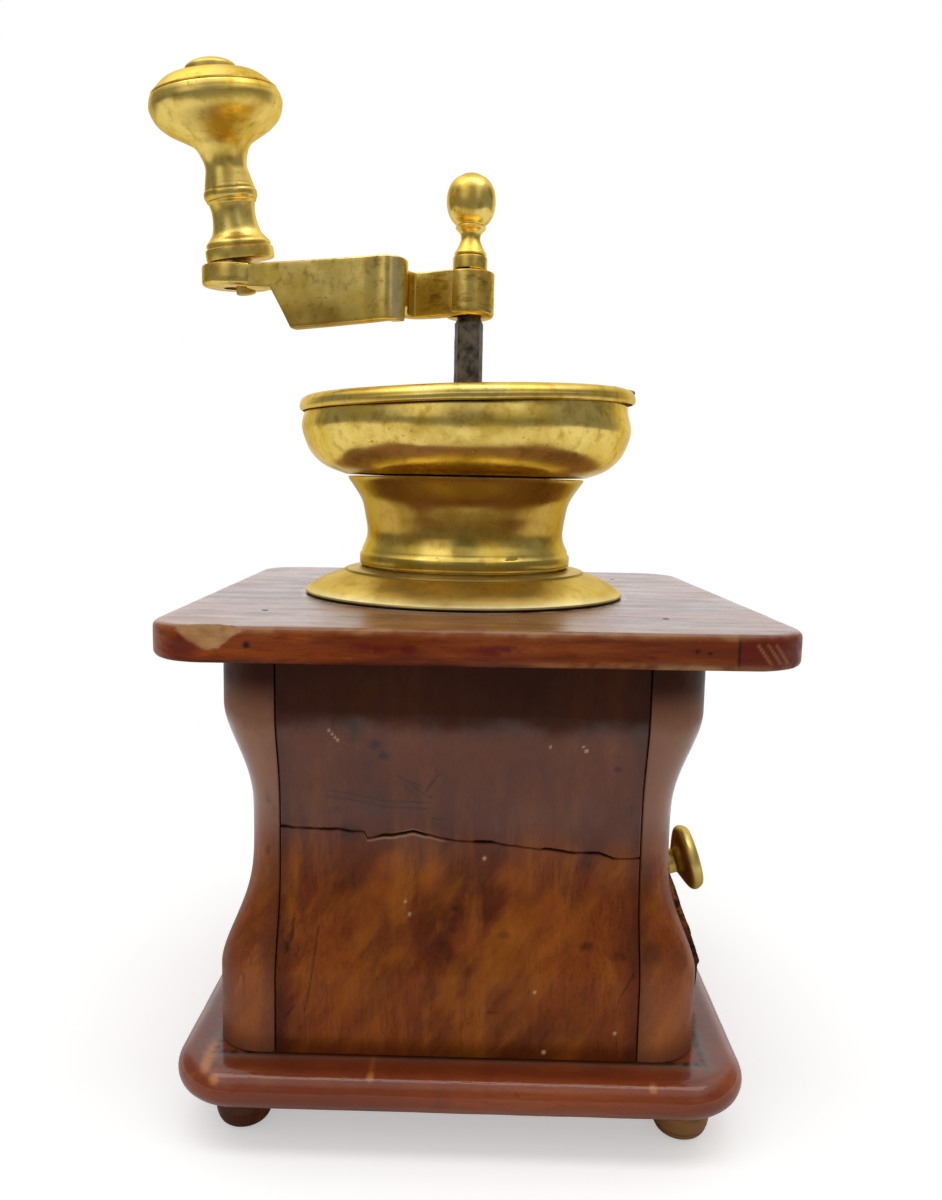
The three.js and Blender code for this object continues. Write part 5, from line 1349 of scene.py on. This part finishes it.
def make_drawer_knob():
    stem, stem_length, radius, thickness, foot = 3.4, 3.4, 9.2, 6.6, 1.2
    start = foot + stem_length
    profile = raised([(0, 0), (stem + 1.0, 0), (stem + 1.2, 0.15), (stem + 0.4, 0.5), (stem, 1.2)], foot)
    head = spline([(stem, -0.4), (stem + 0.6, -0.05), (radius * 0.75, thickness * 0.18),
                   (radius * 0.94, thickness * 0.34), (radius, thickness * 0.55),
                   (radius * 0.94, thickness * 0.78), (radius * 0.8, thickness * 0.93),
                   (radius * 0.4, thickness - 0.05)], 50)
    profile += raised(head + [(0, thickness)], start)
    lean = math.radians(16)
    place = Matrix.Translation((57.0 + BOX_X, 0, 34.35)) @ Matrix.Rotation(math.pi / 2 - lean, 4, "Y")
    look = Brass("pull_brass", tone=27.0, dull=0.5).finish_brass()
    make_piece("drawer_knob", [lathe(profile, 96, place)], look)


make_base()
make_top_board()
make_front_panel()
make_wall("rear_panel", 2, seed=62)
make_wall("left_panel", 3, seed=63)
make_wall("right_panel", 1, seed=64)
for quarter, corner in enumerate(["front_right", "rear_right", "rear_left", "front_left"]):
    make_post("post_" + corner, quarter, seed=65 + quarter)
    make_foot("foot_" + corner, seed=75 + quarter)
make_drawer_front()
make_drawer_knob()
make_flange()
make_neck()
make_bowl()
make_lid()
make_shaft()
make_crank_arm()
make_finial()
make_crank_knob()
make_spindle()

SLOT_LOOKS = {"raw_wood": plain_wood, "iron": dark_iron, "cast_iron": cast_iron}
for name, node in frame["nodes"].items():
    if not node.hide_render:
        node.data.materials.clear()
        node.data.materials.append(SLOT_LOOKS[SLOT_OF[name]])


# Floor, light and camera

def make_floor():
    """A pale floor that takes shadows near the mill, and fades to plain white for camera and reflections."""
    left, right, near_edge, far_edge = -1.6, 1.6, -0.36, 2.4
    z = FLOOR_Z * MM
    mesh = bpy.data.meshes.new("floor")
    corners = [(left, near_edge, z), (right, near_edge, z), (right, far_edge, z), (left, far_edge, z)]
    mesh.from_pydata(corners, [], [(0, 1, 2, 3)])
    look = Look("floor_white")
    rays = look.node("ShaderNodeLightPath")
    camera = rays.outputs["Is Camera Ray"]
    seen = look.math("MAXIMUM", camera, rays.outputs["Is Glossy Ray"])
    seen = look.math("MAXIMUM", seen, rays.outputs["Is Transmission Ray"])
    diffuse = look.node("ShaderNodeBsdfDiffuse")
    diffuse.inputs["Color"].default_value = (0.85, 0.85, 0.84, 1)
    lift = look.node("ShaderNodeEmission")
    look.link(lift.inputs["Strength"], look.scaled(camera, 0.42))
    white = look.node("ShaderNodeEmission")
    white.inputs["Strength"].default_value = 1.0
    near_part = look.node("ShaderNodeAddShader")
    look.link(near_part.inputs[0], diffuse.outputs[0])
    look.link(near_part.inputs[1], lift.outputs[0])
    distance = look.axis_distance()
    away = look.plus(look.scaled(look.step(distance, 110.0, 260.0), camera),
                     look.scaled(look.step(distance, 150.0, 290.0), look.minus(1.0, camera)))
    mix = look.node("ShaderNodeMixShader")
    look.link(mix.inputs[0], look.times(away, seen))
    look.link(mix.inputs[1], near_part.outputs[0])
    look.link(mix.inputs[2], white.outputs[0])
    output = look.node("ShaderNodeOutputMaterial")
    look.link(output.inputs["Surface"], mix.outputs[0])
    mesh.materials.append(look.material)
    add_object("floor", mesh)


def make_world():
    """White for the camera, even for matt faces. Reflections see a dim viewer's side with two windows."""
    world = bpy.data.worlds.new("studio")
    bpy.context.scene.world = world
    sky = Nodes(world)
    parts = sky.node("ShaderNodeSeparateXYZ")
    sky.link(parts.inputs[0], sky.node("ShaderNodeTexCoord").outputs["Generated"])
    across, depth, up = parts.outputs
    front = sky.step(depth, 0.80, 0.40)
    dim = sky.scaled(sky.step(up, 0.80, 0.45), front)
    level = sky.minus(1.15, sky.scaled(dim, 0.87))
    for side, width, gain in ((-0.46, 0.34, 0.62), (0.50, 0.24, 0.34)):
        from_side = sky.math("ABSOLUTE", sky.minus(across, side))
        window = sky.scaled(sky.step(from_side, width, width * 0.3), sky.step(up, 0.02, 0.26))
        level = sky.plus(level, sky.scaled(sky.scaled(window, front), gain))
    rays = sky.node("ShaderNodeLightPath")
    glossy = sky.math("MAXIMUM", rays.outputs["Is Glossy Ray"], rays.outputs["Is Transmission Ray"])
    plain = 0.62
    strength = sky.plus(sky.scaled(level, glossy), sky.scaled(sky.minus(1.0, glossy), plain))
    camera = rays.outputs["Is Camera Ray"]
    strength = sky.plus(sky.scaled(strength, sky.minus(1.0, camera)), camera)
    background = sky.node("ShaderNodeBackground")
    background.inputs["Color"].default_value = (1, 1, 1, 1)
    sky.link(background.inputs["Strength"], strength)
    sky.link(sky.node("ShaderNodeOutputWorld").inputs["Surface"], background.outputs[0])


def make_lamp():
    light = bpy.data.lights.new("overhead", "AREA")
    light.shape = "RECTANGLE"
    light.size = 1.7
    light.size_y = 0.45
    light.energy = 5.6
    lamp = add_object("overhead", light)
    lamp.location = (0.0, -0.25, 1.25)
    lamp.rotation_euler = (math.radians(-9), 0, 0)


CAMERA_PLACE = (5.39, -263.83, 142.5)
CAMERA_YAW = math.radians(0.723)
CAMERA_PITCH = math.radians(6.825)
CAMERA_ROLL = math.radians(1.162)
PICTURE_HEIGHT = 1200
FOCAL_PIXELS = 943.22
CENTRE_ROW = 597.84
FILM_HEIGHT = 36


def make_camera():
    data = bpy.data.cameras.new("camera")
    data.sensor_fit = "VERTICAL"
    data.sensor_height = FILM_HEIGHT
    data.lens = FILM_HEIGHT * FOCAL_PIXELS / PICTURE_HEIGHT
    data.shift_y = (CENTRE_ROW - PICTURE_HEIGHT / 2) / PICTURE_HEIGHT
    data.clip_start = 0.01
    level = Vector((math.cos(CAMERA_YAW), math.sin(CAMERA_YAW), 0))
    flat = math.cos(CAMERA_PITCH)
    forward = Vector((-math.sin(CAMERA_YAW) * flat, math.cos(CAMERA_YAW) * flat, -math.sin(CAMERA_PITCH)))
    upright = level.cross(forward)
    right = level * math.cos(CAMERA_ROLL) + upright * math.sin(CAMERA_ROLL)
    up = upright * math.cos(CAMERA_ROLL) - level * math.sin(CAMERA_ROLL)
    matrix = Matrix((right, up, -forward)).transposed().to_4x4()
    matrix.translation = Vector(CAMERA_PLACE) * MM
    camera = add_object("camera", data)
    camera.matrix_world = matrix
    bpy.context.scene.camera = camera


make_floor()
make_world()
make_lamp()
make_camera()
bpy.context.scene.view_settings.view_transform = "Standard"
